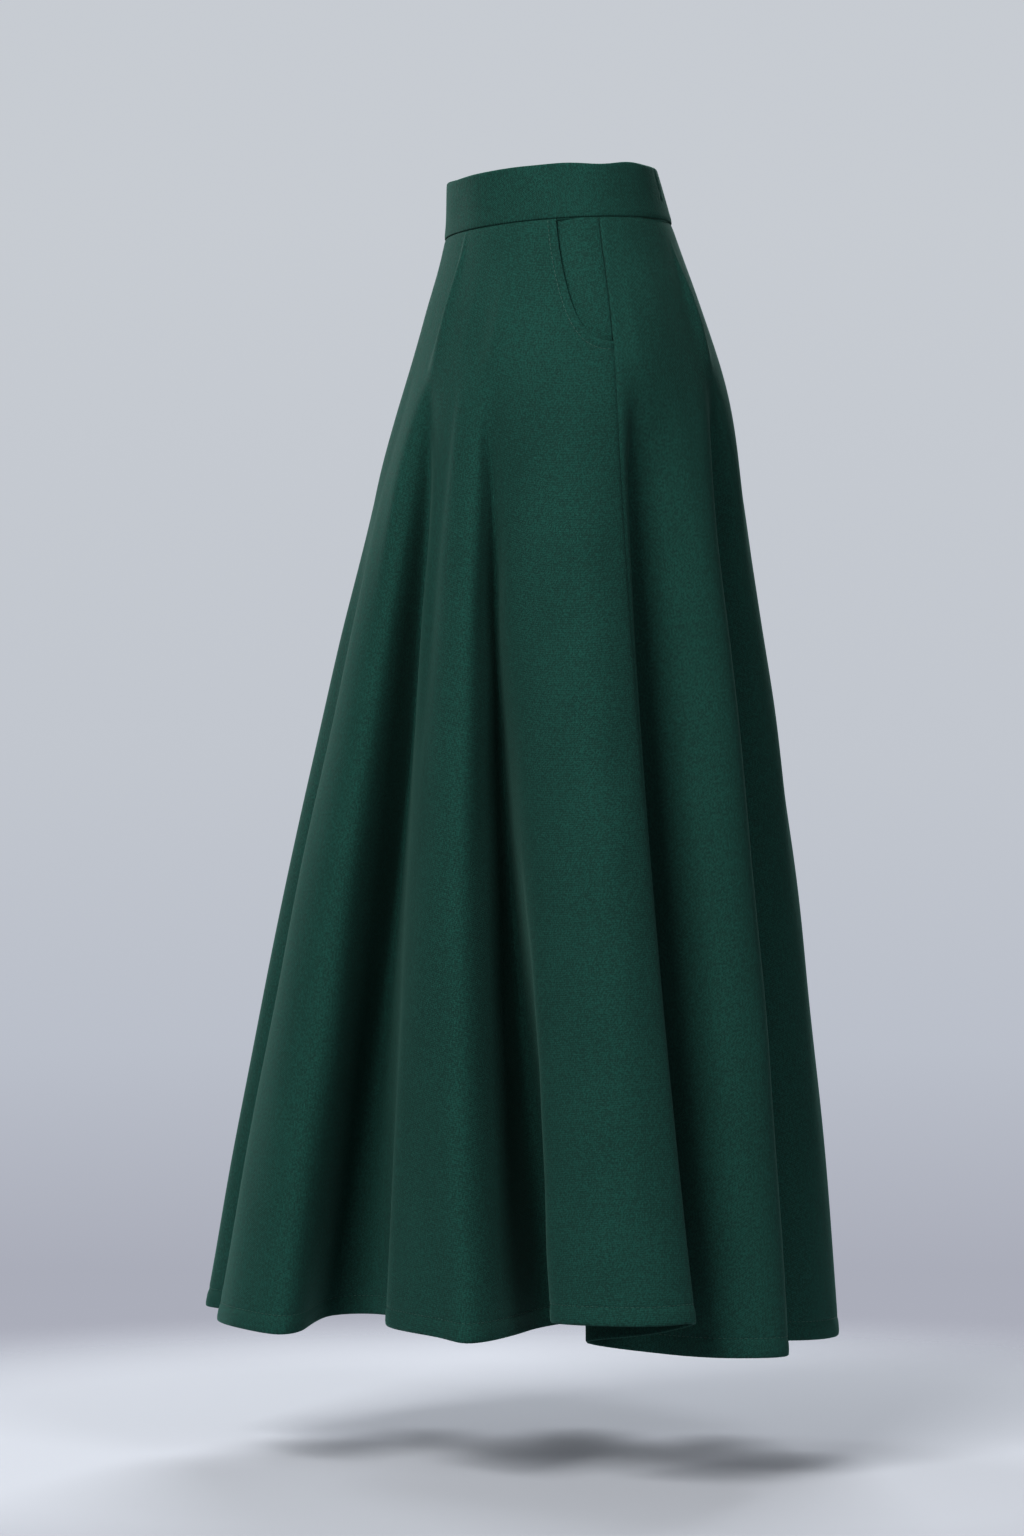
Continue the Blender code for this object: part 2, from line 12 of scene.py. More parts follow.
import bpy
import numpy as np
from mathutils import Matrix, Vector


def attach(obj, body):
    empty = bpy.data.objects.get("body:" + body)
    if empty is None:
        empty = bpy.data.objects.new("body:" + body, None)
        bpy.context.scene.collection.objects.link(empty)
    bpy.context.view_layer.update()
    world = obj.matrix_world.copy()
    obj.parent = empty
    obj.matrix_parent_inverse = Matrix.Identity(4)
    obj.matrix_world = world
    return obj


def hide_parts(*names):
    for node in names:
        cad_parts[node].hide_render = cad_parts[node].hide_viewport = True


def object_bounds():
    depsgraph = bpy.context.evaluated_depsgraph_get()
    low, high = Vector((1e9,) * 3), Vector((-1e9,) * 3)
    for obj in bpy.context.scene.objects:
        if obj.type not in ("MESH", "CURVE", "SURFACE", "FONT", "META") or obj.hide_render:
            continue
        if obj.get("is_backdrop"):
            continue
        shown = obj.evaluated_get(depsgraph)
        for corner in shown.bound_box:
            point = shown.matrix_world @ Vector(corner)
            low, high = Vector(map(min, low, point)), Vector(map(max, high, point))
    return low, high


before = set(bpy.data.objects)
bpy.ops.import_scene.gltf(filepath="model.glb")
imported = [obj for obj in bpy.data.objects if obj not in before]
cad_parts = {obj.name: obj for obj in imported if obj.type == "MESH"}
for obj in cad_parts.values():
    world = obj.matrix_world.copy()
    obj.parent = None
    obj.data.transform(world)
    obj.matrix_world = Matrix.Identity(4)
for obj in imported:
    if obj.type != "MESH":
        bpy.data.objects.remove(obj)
cad_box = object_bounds()

# ---- sizes shared with the CAD
WALL = 0.0014
BAG_WALL = 0.0010
GAP = 0.0003
BAND_HEIGHT = 0.045
BAND_WALL = 0.0030
BAND_PROUD = 0.0006
BAND_TILT = 0.047  # rise of the waist per metre towards the back
SEAM_Z = -BAND_HEIGHT / 2
HEM_TURN = 0.015
HIP_Z = -0.150  # level where the bearings of LINES are read
FOLD_FADE = 0.200  # height over which a fold grows out of the smooth hip
PLAN_TURN = math.radians(70)
CB_GAP = 0.0016  # between the two edges at the centre back, along the zip
PANEL_DROP = 0.90  # mean height of the panels, which v divides
ZIP_DROP = 0.2025

# Smooth body of the skirt, before folds: half sizes of the outer face at each level.
Section = namedtuple("Section", "z side front back")
SECTIONS = [Section(*row) for row in (
    (0.0225, 0.1100, 0.0858, 0.0800),
    (-0.0225, 0.1194, 0.0869, 0.0936),
    (-0.0870, 0.1420, 0.1030, 0.1160),
    (-0.1700, 0.1660, 0.1270, 0.1420),
    (-0.2530, 0.1840, 0.1510, 0.1580),
    (-0.4190, 0.2120, 0.1920, 0.1790),
    (-0.6680, 0.2450, 0.2400, 0.2060),
    (-0.9300, 0.2750, 0.2920, 0.2320),
)]

# One row for each line that runs down the skirt: ridges (r), valleys (v) and seams.
# hip: bearing at HIP_Z in degrees. across, out: place at the hem on the plan axes turned by PLAN_TURN.
# hem: height of the hem there. bulge: how far the line bows out halfway. start: where its fold begins.
# sway: how far it bows along the across axis halfway.
Line = namedtuple("Line", "name hip across out hem bulge start sway")
LINES = [Line(*row) for row in (
    ("r0", -27, -0.293, -0.070, -0.920, 0.009, -0.13, 0.000),
    ("v0", -12, -0.254, -0.015, -0.921, 0.004, -0.15, 0.000),
    ("r1_left", -7, -0.275, 0.025, -0.921, 0.006, -0.15, 0.000),
    ("r1", -1, -0.256, 0.090, -0.922, 0.010, -0.14, 0.000),
    ("r1_crest", 5, -0.222, 0.120, -0.924, 0.006, -0.14, 0.000),
    ("v1_wall", 8.5, -0.204, 0.100, -0.923, 0.000, -0.045, 0.000),
    ("v1", 12.5, -0.182, 0.042, -0.917, -0.018, -0.035, 0.000),
    ("v1_floor", 18, -0.136, 0.070, -0.914, 0.000, -0.05, -0.006),
    ("r2_left", 25, -0.136, 0.128, -0.916, 0.000, -0.05, -0.006),
    ("r2", 28.5, -0.096, 0.194, -0.918, 0.006, -0.05, -0.010),
    ("r2_crest", 33, -0.072, 0.220, -0.920, 0.006, -0.05, -0.006),
    ("v2_wall", 37, -0.040, 0.188, -0.919, 0.000, -0.05, -0.010),
    ("v2", 41.5, 0.002, 0.118, -0.916, -0.014, -0.05, -0.021),
    ("v2_in", 47, 0.026, 0.142, -0.910, 0.000, -0.05, -0.024),
    ("r3_left", 56, -0.005, 0.206, -0.905, 0.004, -0.05, -0.004),
    ("r3", 68, 0.042, 0.256, -0.903, 0.008, -0.05, 0.000),
    ("r3_right", 79, 0.088, 0.258, -0.902, 0.004, -0.05, -0.005),
    ("seam_left", 86.5, 0.109, 0.238, -0.9025, 0.000, -0.05, -0.006),
    ("v3_in", 91, 0.074, 0.204, -0.915, -0.014, -0.055, 0.000),
    ("v3", 95, 0.026, 0.170, -0.925, -0.026, -0.05, 0.000),
    ("v3_out", 100, 0.072, 0.156, -0.934, -0.020, -0.05, 0.000),
    ("r4", 111.5, 0.134, 0.190, -0.935, 0.000, -0.05, 0.007),
    ("r4_edge", 122, 0.185, 0.164, -0.936, 0.000, -0.10, 0.008),
    ("v4", 133, 0.150, 0.058, -0.937, -0.022, -0.03, 0.000),
    ("v4_out", 141, 0.200, 0.028, -0.939, 0.003, -0.10, 0.000),
    ("r5", 157, 0.238, -0.030, -0.941, 0.010, -0.11, 0.000),
    ("r5_edge", 166, 0.222, -0.086, -0.941, 0.010, -0.12, 0.000),
    ("v5", 174, 0.164, -0.092, -0.941, 0.002, -0.14, 0.000),
    ("seam_back", 180, 0.172, -0.130, -0.940, 0.004, -0.14, 0.000),
    ("r6", 192, 0.184, -0.170, -0.940, 0.008, -0.13, 0.000),
    ("r6_edge", 202, 0.140, -0.196, -0.938, 0.006, -0.12, 0.000),
    ("v6", 214, 0.092, -0.146, -0.936, 0.000, -0.11, 0.000),
    ("r7", 230, 0.066, -0.226, -0.934, 0.008, -0.13, 0.000),
    ("r7_edge", 242, 0.012, -0.236, -0.932, 0.006, -0.14, 0.000),
    ("v7", 254, -0.022, -0.172, -0.929, 0.000, -0.16, 0.000),
    ("r8", 264, -0.066, -0.238, -0.926, 0.008, -0.14, 0.000),
    ("seam_right", 271, -0.112, -0.236, -0.925, 0.008, -0.13, 0.000),
    ("v8", 288, -0.126, -0.160, -0.923, 0.000, -0.14, 0.000),
    ("r9", 302, -0.186, -0.190, -0.921, 0.008, -0.12, 0.000),
    ("r9_edge", 312, -0.226, -0.156, -0.920, 0.008, -0.12, 0.000),
    ("v9", 322, -0.202, -0.104, -0.920, 0.004, -0.13, 0.000),
)]

SCOOP_WIDTH = 0.036
SCOOP_DROP = 0.106
SCOOP_SQUARENESS = 2.8
POUCH_WIDTH = 0.115
POUCH_DROP = 0.209
POUCH_SQUARENESS = 4.0
POUCH_END = 0.2025  # the drop where the pouch's last row lies
BAG_SETBACK = 0.003
SHOWN_RISE = 0.025
BAG_DEPTH = WALL + 2 * GAP
HIP_DEPTH = BAG_DEPTH + BAG_WALL + GAP
TAPE_EDGE = 0.0009
TAPE_WIDTH = 0.0130
TAPE_TOP_DROP = 0.003
TAPE_BAND_DEPTH = BAND_WALL - BAND_PROUD + GAP
TAPE_PANEL_DEPTH = WALL + GAP
CHAIN_TOP_Z = 0.0058

# ---- sizes of the looks
GRAIN = 1.0  # share of the rows and columns
TUCK_ROWS = [0.0, 0.0015]  # drops of the rows that tuck in under the waistband
SCOOP_ROWS = 34
BELOW_SCOOP_ROWS = 9
BELOW_SCOOP_STEP = 0.0013
BODY_ROW_STEP = 0.0070
HEM_ROWS = 18
HEM_ROWS_RISE = 0.006  # the hem's dense rows start this far above its row of stitches
SIDE_COLUMNS = 62  # between a scooped seam and its anchor line
COLUMN_STEP = 0.0044  # of the other columns, at COLUMN_LEVEL
COLUMN_LEVEL = 0.8  # share of the drop
COLUMN_SAMPLES = 2000
ARC_SAMPLES = 1200
WALK_SAMPLES = 400
WALK_REACH = 0.2  # share of the way round that a walk may take
EDGE_ROLL = 0.0004  # radius of a cut edge
SEAM_JOIN = 0.00004  # the sewn edges touch, so no light shows through a seam
SEAM_DIP = 0.0005  # depth of the dip along a seam
SEAM_DIP_WIDTH = 0.0016
POCKET_ROLL = 1.6 * EDGE_ROLL
EDGE_FLAT = 0.0001  # left unrounded in the middle of a thin edge
STITCH_INSET = 0.0070  # from the pocket's edge to its topstitching
STITCH_DIP = 0.00035
STITCH_DIP_WIDTH = 0.0010
EDGE_PUFF = 0.00045  # rise of the turned edge between the pocket's edge and its topstitching
HEM_LINE = 0.0150  # from the hem's edge to its row of stitches
HEM_DIP = 0.00050
HEM_DIP_WIDTH = 0.0016
HEM_DIP_MEAN = 0.65  # share of the dip that is the same all along the hem
HEM_WAVE_RATE = 3  # the rest of it comes and goes this much faster than the cloth's waves
HEM_PUFF = 0.00050
HEM_PUFF_RISE = 0.006
HEM_PUFF_FALL = 0.004
HEM_ARC_POINTS = 6  # an even number, as the two faces mirror each other
TUCK = 0.0009  # how far the panels tuck in under the waistband
TUCK_DROP = 0.0035
WAVE_HEIGHT = 0.00060  # unevenness of the pressed cloth
WAVE_SEED = 11
WAVE_COUNT = 9
WAVE_ACROSS = (0.05, 0.16)  # the waves' lengths
WAVE_DOWN = (0.20, 0.60)
WAVE_BAND_FADE = 0.15  # the waves fade out towards the waistband and the seams
WAVE_SEAM_FADE = 0.03


# ---- the cloth's outer face, as in part.py
def loop_spline(knots, values, period, wrap=0.0):
    """A smooth closed cubic through values at knots. It gains wrap each time round."""
    count = len(knots)
    level = np.asarray(values, float) - wrap * knots / period
    steps = np.diff(np.append(knots, knots[0] + period))
    ends = np.append(level, level[0])
    slopes = np.diff(ends) / steps
    system = np.zeros((count, count))
    for i in range(count):
        system[i, i - 1] += steps[i - 1]
        system[i, i] += 2 * (steps[i - 1] + steps[i])
        system[i, (i + 1) % count] += steps[i]
    bends = np.linalg.solve(system, 6 * (slopes - np.roll(slopes, 1)))
    bends = np.append(bends, bends[0])

    def value(t):
        turns = np.floor((t - knots[0]) / period)
        local = t - turns * period
        i = np.clip(np.searchsorted(knots, local, side="right") - 1, 0, count - 1)
        past = local - knots[i]
        left = steps[i] - past
        curved = (bends[i] * left**3 + bends[i + 1] * past**3) / (6 * steps[i])
        straight = (ends[i] / steps[i] - bends[i] * steps[i] / 6) * left
        straight += (ends[i + 1] / steps[i] - bends[i + 1] * steps[i] / 6) * past
        return curved + straight + wrap * t / period

    return value


def section_value(column, z):
    """A column of SECTIONS at height z, on a smooth curve through its rows."""
    levels = np.array([row.z for row in SECTIONS[::-1]])
    values = np.array([getattr(row, column) for row in SECTIONS[::-1]])
    slopes = np.gradient(values, levels)
    z = np.clip(z, levels[0], levels[-1])
    i = np.clip(np.searchsorted(levels, z, side="right") - 1, 0, len(levels) - 2)
    step = levels[i + 1] - levels[i]
    s = (z - levels[i]) / step
    low = values[i] * (1 + 2 * s) + slopes[i] * step * s
    high = values[i + 1] * (3 - 2 * s) - slopes[i + 1] * step * (1 - s)
    return low * (1 - s) ** 2 + high * s**2


def smooth_body(bearing, z):
    """Plan point of the smooth body at a bearing in degrees and a height."""
    turn = np.radians(bearing)
    reach = np.where(np.cos(turn) > 0, section_value("front", z), section_value("back", z))
    return np.stack([section_value("side", z) * np.sin(turn), -reach * np.cos(turn)], -1)


def smoothstep(x):
    x = np.clip(x, 0, 1)
    return x * x * (3 - 2 * x)


ACROSS = np.array([math.cos(PLAN_TURN), math.sin(PLAN_TURN)])
OUT = np.array([math.sin(PLAN_TURN), -math.cos(PLAN_TURN)])
HEM_PLAN = np.array([line.across * ACROSS + line.out * OUT for line in LINES])
HEM_STEPS = np.linalg.norm(np.roll(HEM_PLAN, -1, axis=0) - HEM_PLAN, axis=1) ** 0.6
KNOTS = np.concatenate([[0.0], np.cumsum(HEM_STEPS)[:-1]])
PERIOD = float(HEM_STEPS.sum())
T_OF = {line.name: float(knot) for line, knot in zip(LINES, KNOTS)}
HIP_BEARING = loop_spline(KNOTS, [line.hip for line in LINES], PERIOD, wrap=360.0)
HEM_X = loop_spline(KNOTS, HEM_PLAN[:, 0], PERIOD)
HEM_Y = loop_spline(KNOTS, HEM_PLAN[:, 1], PERIOD)
HEM_Z = loop_spline(KNOTS, [line.hem for line in LINES], PERIOD)
BULGE = loop_spline(KNOTS, [line.bulge for line in LINES], PERIOD)
START = loop_spline(KNOTS, [line.start for line in LINES], PERIOD)
SWAY = loop_spline(KNOTS, [line.sway for line in LINES], PERIOD)


def outer_face(t, v):
    """Points of the outer face. Each line leaves the smooth body and runs almost straight to the hem."""
    bearing = HIP_BEARING(t)
    hem = np.stack([HEM_X(t), HEM_Y(t)], -1)
    rise = BAND_TILT * smooth_body(bearing, np.full_like(t, SEAM_Z))[..., 1]
    top = SEAM_Z - GAP + rise
    z = top + (HEM_Z(t) - top) * v
    body = smooth_body(bearing, z - rise * (1 - v))
    hip = smooth_body(bearing, np.full_like(t, HIP_Z))
    along = (z - HIP_Z) / (HEM_Z(t) - HIP_Z)
    turn = np.radians(bearing)
    outward = np.stack([np.sin(turn), -np.cos(turn)], -1)
    arch = 4 * along * (1 - along)
    line = hip + (hem - hip) * along[..., None]
    line = line + (BULGE(t) * arch)[..., None] * outward
    line = line + (SWAY(t) * arch)[..., None] * ACROSS
    folded = smoothstep((START(t) - z) / FOLD_FADE)[..., None]
    return np.concatenate([body * (1 - folded) + line * folded, z[..., None]], -1)


def face_frame(t, v):
    """Points of the outer face, the normal out of it and the direction down along it."""
    dt = 1e-4 * PERIOD
    dv = 1e-3
    low = np.maximum(v - dv, 0)
    high = np.minimum(v + dv, 1)
    run = outer_face(t + dt, v) - outer_face(t - dt, v)
    fall = outer_face(t, high) - outer_face(t, low)
    normal = np.cross(fall, run)
    normal /= np.linalg.norm(normal, axis=-1, keepdims=True)
    fall /= np.linalg.norm(fall, axis=-1, keepdims=True)
    return outer_face(t, v), normal, fall


def run_along(path):
    """Length along a path, at each of its points."""
    return np.concatenate([[0.0], np.cumsum(np.linalg.norm(np.diff(path, axis=0), axis=1))])


def sampled(lengths, run, values):
    """Values at lengths along a path whose points lie at the lengths run."""
    return np.stack([np.interp(lengths, run, column) for column in values.T], -1)


def arc_lengths(t, v):
    """Length along the outer face at level v, at each of the rising values t, from the first of them."""
    fine = np.linspace(t[0], t[-1], ARC_SAMPLES)
    return np.interp(t, fine, run_along(outer_face(fine, np.full_like(fine, v))))


def walk(t, v, distance):
    """The t at a distance round the skirt from t, along row v. A negative distance walks back.

    Several distances of one sign give a t each."""
    span = np.linspace(0, math.copysign(WALK_REACH * PERIOD, np.sum(distance)), WALK_SAMPLES)
    path = outer_face(t + span, np.full_like(span, v))
    return t + np.interp(np.abs(distance), run_along(path), span)


def t_after(start, line):
    """The t of a line of the table, counted on from start."""
    return T_OF[line] + (PERIOD if T_OF[line] < start else 0)


def band_points(bearing, z, depth):
    """Points of the waistband's zone, at a depth under the smooth body."""
    bearing, z, depth = np.broadcast_arrays(*(np.asarray(a, float) for a in (bearing, z, depth)))
    step = 0.01
    run = smooth_body(bearing + step, z) - smooth_body(bearing - step, z)
    outward = np.stack([run[..., 1], -run[..., 0]], -1)
    outward /= np.linalg.norm(outward, axis=-1, keepdims=True)
    plan = smooth_body(bearing, z) - outward * depth[..., None]
    rise = BAND_TILT * smooth_body(bearing, z)[..., 1]
    return np.concatenate([plan, (z + rise)[..., None]], -1)


def scoop_width(drop):
    """Width of the pocket's scoop, from the side seam, at a drop under the waistband."""
    part = np.clip(drop / SCOOP_DROP, 0, 1) ** SCOOP_SQUARENESS
    return SCOOP_WIDTH * (1 - part) ** (1 / SCOOP_SQUARENESS)


# ---- making objects
SHARP_ANGLE = math.radians(55)


def add_object(name, data):
    thing = bpy.data.objects.new(name, data)
    bpy.context.scene.collection.objects.link(thing)
    return thing


def new_object(name, points, faces, material, uv=None):
    """A smooth-shaded mesh object. uv gives each point its place on the flat cloth, in metres."""
    mesh = bpy.data.meshes.new(name)
    mesh.from_pydata(np.asarray(points).tolist(), [], np.asarray(faces).tolist())
    if uv is not None:
        layer = mesh.uv_layers.new(name="cloth")
        index = np.empty(len(mesh.loops), int)
        mesh.loops.foreach_get("vertex_index", index)
        layer.data.foreach_set("uv", np.asarray(uv, float)[index].ravel())
    mesh.materials.append(material)
    mesh.shade_smooth()
    mesh.set_sharp_from_angle(angle=SHARP_ANGLE)
    return add_object(name, mesh)


def ring_sheet(name, ring, uv, material):
    """A closed wall. ring has a row of points for each step round the cloth's cut profile: down the outer
    face, round the lower edge and up the inner face. Its first half mirrors its second half."""
    steps, columns = ring.shape[:2]
    index = np.arange(steps * columns).reshape(steps, columns)
    below = np.roll(index, -1, axis=0)
    quads = [np.stack([index[:, :-1], below[:, :-1], below[:, 1:], index[:, 1:]], -1).reshape(-1, 4)]
    half = steps // 2
    near = index[:half]
    far = index[::-1][:half]
    for c, flip in ((0, True), (columns - 1, False)):
        cap = np.stack([near[:-1, c], near[1:, c], far[1:, c], far[:-1, c]], -1)
        quads.append(cap[:, ::-1] if flip else cap)
    faces = np.concatenate(quads)
    return new_object(name, ring.reshape(-1, 3), faces, material, uv.reshape(-1, 2))


def half_turns(count):
    return [math.pi * i / (count + 1) for i in range(1, count + 1)]


def hung_wall(name, outer, inside, fall, radius, arc_points, uv, material):
    """A closed wall between two faces, its lower edge rounded to a radius along fall."""
    centre = (outer[-1:] + inside[-1:]) / 2
    spoke = (outer[-1:] - inside[-1:]) / 2
    arc = []
    for turn in half_turns(arc_points):
        arc.append(centre + spoke * math.cos(turn) + fall[-1:] * (radius * math.sin(turn)))
    ring = np.concatenate([outer, *arc, inside[::-1]])
    around = np.concatenate([uv, np.repeat(uv[-1:], arc_points, axis=0), uv[::-1]])
    return ring_sheet(name, ring, around, material)


# ---- materials
# Dark and light tone of each material, the metal's as painted and as worn bare.
WOOL_TONES = ((0.0092, 0.0470, 0.0385), (0.0170, 0.0840, 0.0690))
WOOL_FLECK = (0.034, 0.120, 0.100)
BAG_TONES = ((0.008, 0.030, 0.024), (0.014, 0.046, 0.037))
TAPE_TONES = ((0.009, 0.036, 0.029), (0.016, 0.055, 0.045))
THREAD_TONES = ((0.0180, 0.0588, 0.0474), (0.030, 0.098, 0.079))
COIL_TONES = ((0.014, 0.048, 0.039), (0.0224, 0.0768, 0.0624))
METAL_TONES = ((0.018, 0.058, 0.047), (0.25, 0.27, 0.26))
WOOL_FINISH = {
    "Specular IOR Level": 0.22,
    "Sheen Weight": 0.16,
    "Sheen Roughness": 0.45,
    "Sheen Tint": (0.42, 0.80, 0.70, 1.0),
}
SPECK = (0.0013, 0.0019)  # sizes of the wool's blotches, across and down the cloth
MOTTLE = (0.0045, 0.0070)
CLOUD = (0.045, 0.080)
FIBRE = (0.00045, 0.0045)
TWILL_PITCH = 0.0015
TWILL_TURN = math.radians(63)
WEAVE_WORN = (0.012, 0.02)
WEFT_PITCH = 1.15  # over the warp's
RIB_SCALE = 0.31831  # of the wave texture, for about one rib to a cell
MOST = (0.35, 0.65)  # where most of a noise's values lie
NEARLY_ALL = (0.3, 0.7)


def add_node(tree, kind, inputs=None, **settings):
    """A shader node. Each of its inputs is a socket to link or a value."""
    node = tree.nodes.new("ShaderNode" + kind)
    for key, value in settings.items():
        setattr(node, key, value)
    for key, value in (inputs or {}).items():
        if isinstance(value, bpy.types.NodeSocket):
            tree.links.new(value, node.inputs[key])
        else:
            node.inputs[key].default_value = value
    return node


def new_material(name, finish):
    """A material, its node tree and its Principled shader, with values for some of the shader's sockets."""
    made = bpy.data.materials.new(name)
    made.use_nodes = True
    shader = made.node_tree.nodes["Principled BSDF"]
    for socket, value in finish.items():
        shader.inputs[socket].default_value = value
    return made, made.node_tree, shader


def cloth_place(tree, across, down, turn=0.0):
    """The place on the flat cloth, turned and counted in cells of the given size in metres."""
    uv = add_node(tree, "UVMap", uv_map="cloth")
    inputs = {"Vector": uv.outputs["UV"], "Angle": turn}
    turned = add_node(tree, "VectorRotate", inputs, rotation_type="Z_AXIS").outputs[0]
    size = (1 / across, 1 / down, 1.0)
    return add_node(tree, "VectorMath", {0: turned, 1: size}, operation="MULTIPLY").outputs[0]


def noise(tree, size, detail=3.0, roughness=0.55):
    """Noise on the flat cloth, from about 0.3 to 0.7, in blotches of the given size in metres."""
    place_on = cloth_place(tree, *size)
    inputs = {"Vector": place_on, "Scale": 1.0, "Detail": detail, "Roughness": roughness}
    return add_node(tree, "TexNoise", inputs, noise_dimensions="2D").outputs[0]


def ribs(tree, size, turn, wobble):
    """Fine parallel ribs on the flat cloth, from 0 to 1."""
    inputs = {"Vector": cloth_place(tree, size, size, turn), "Scale": RIB_SCALE, "Distortion": wobble}
    inputs.update({"Detail": 1.0, "Detail Scale": 0.6})
    return add_node(tree, "TexWave", inputs, wave_type="BANDS", bands_direction="X").outputs["Fac"]


def weighted(tree, parts):
    """The sum of sockets times weights."""
    total = None
    for socket, weight in parts:
        inputs = {0: socket, 1: weight, 2: 0.0 if total is None else total}
        total = add_node(tree, "Math", inputs, operation="MULTIPLY_ADD").outputs[0]
    return total


def spread(tree, socket, low, high, to_low=0.0, to_high=1.0):
    inputs = {"Value": socket, "From Min": low, "From Max": high, "To Min": to_low, "To Max": to_high}
    return add_node(tree, "MapRange", inputs).outputs[0]


def colour_mix(tree, share, first, second):
    mixed = add_node(tree, "Mix", {"Factor": share}, data_type="RGBA")
    for slot_index, value in ((6, first), (7, second)):
        if isinstance(value, bpy.types.NodeSocket):
            tree.links.new(value, mixed.inputs[slot_index])
        else:
            mixed.inputs[slot_index].default_value = (*value, 1.0)
    return mixed.outputs[2]


def clad(tree, shader, colour, roughness, height, depth, strength):
    """Links a colour, a roughness and a bump with a depth in metres to the shader."""
    bump = add_node(tree, "Bump", {"Height": height, "Distance": depth, "Strength": strength})
    tree.links.new(colour, shader.inputs["Base Color"])
    tree.links.new(roughness, shader.inputs["Roughness"])
    tree.links.new(bump.outputs[0], shader.inputs["Normal"])


def wool_material():
    """Coat wool: a felted twill whose nap clouds it, mottled finely, with a few paler fibres."""
    made, tree, shader = new_material("wool_cloth", WOOL_FINISH)
    speck = noise(tree, SPECK, detail=2.0)
    mottle = noise(tree, MOTTLE, detail=3.0, roughness=0.6)
    cloud = noise(tree, CLOUD, detail=2.0)
    twill = ribs(tree, TWILL_PITCH, TWILL_TURN, wobble=0.9)
    fibre = noise(tree, FIBRE, detail=1.0)
    tone = weighted(tree, [(speck, 0.62), (mottle, 0.28), (cloud, 0.09), (twill, 0.10)])
    base = colour_mix(tree, spread(tree, tone, 0.46, 0.66), *WOOL_TONES)
    colour = colour_mix(tree, spread(tree, fibre, 0.68, 0.80, 0.0, 0.55), base, WOOL_FLECK)
    height = weighted(tree, [(speck, 0.55), (mottle, 0.55), (twill, 0.20), (fibre, 0.15)])
    rough = spread(tree, mottle, *MOST, 0.86, 0.97)
    clad(tree, shader, colour, rough, height, depth=0.00045, strength=0.75)
    return made


def plain_weave_material(name, dark, light, thread, roughness, specular):
    """A plain woven cloth of fine threads both ways."""
    made, tree, shader = new_material(name, {"Specular IOR Level": specular})
    warp = ribs(tree, thread, turn=0.0, wobble=0.35)
    weft = ribs(tree, thread * WEFT_PITCH, turn=math.radians(90), wobble=0.35)
    worn = noise(tree, WEAVE_WORN)
    weave = add_node(tree, "Math", {0: warp, 1: weft}, operation="MULTIPLY").outputs[0]
    tone = weighted(tree, [(weave, 0.55), (worn, 0.6)])
    colour = colour_mix(tree, spread(tree, tone, 0.2, 0.8), dark, light)
    rough = spread(tree, worn, *NEARLY_ALL, roughness - 0.06, roughness + 0.06)
    clad(tree, shader, colour, rough, weave, depth=0.00012, strength=0.8)
    return made


def object_noise(tree, size, detail=2.0):
    """Noise on a solid piece, in blotches of the given size in metres."""
    place_on = add_node(tree, "TexCoord").outputs["Object"]
    inputs = {"Vector": place_on, "Scale": 1 / size, "Detail": detail}
    return add_node(tree, "TexNoise", inputs).outputs[0]


def drawn_material(name, dark, light, size, roughness, depth, strength, sheen):
    """A drawn thread or wire, uneven in blotches of the given size."""
    made, tree, shader = new_material(name, {"Sheen Weight": sheen})
    blotch = object_noise(tree, size)
    colour = colour_mix(tree, spread(tree, blotch, *MOST), dark, light)
    rough = spread(tree, blotch, *NEARLY_ALL, *roughness)
    clad(tree, shader, colour, rough, blotch, depth, strength)
    return made


def metal_material():
    """Dyed die-cast metal, its colour rubbed off a little at the edges."""
    made, tree, shader = new_material("zip_metal", {})
    grain = object_noise(tree, size=0.0006, detail=3.0)
    blotch = object_noise(tree, size=0.0040)
    pointed = add_node(tree, "NewGeometry").outputs["Pointiness"]
    edge = weighted(tree, [(spread(tree, pointed, 0.52, 0.60), 0.9), (blotch, 0.5), (grain, 0.3)])
    worn = spread(tree, edge, 0.75, 1.15)
    tree.links.new(spread(tree, worn, 0.0, 1.0, 0.25, 0.95), shader.inputs["Metallic"])
    colour = colour_mix(tree, worn, *METAL_TONES)
    rough = spread(tree, grain, *NEARLY_ALL, 0.30, 0.46)
    clad(tree, shader, colour, rough, grain, depth=0.00003, strength=0.6)
    return made


WOOL = wool_material()
BAG_CLOTH = plain_weave_material("bag_cloth", *BAG_TONES, thread=0.0006, roughness=0.68, specular=0.35)
TAPE = plain_weave_material("zip_tape", *TAPE_TONES, thread=0.0008, roughness=0.78, specular=0.30)
THREAD = drawn_material(
    "stitch_thread", *THREAD_TONES,
    size=0.0004, roughness=(0.45, 0.65), depth=0.0001, strength=0.6, sheen=0.15,
)
COIL = drawn_material(
    "zip_coil", *COIL_TONES,
    size=0.0009, roughness=(0.28, 0.42), depth=0.00004, strength=0.5, sheen=0.0,
)
METAL = metal_material()


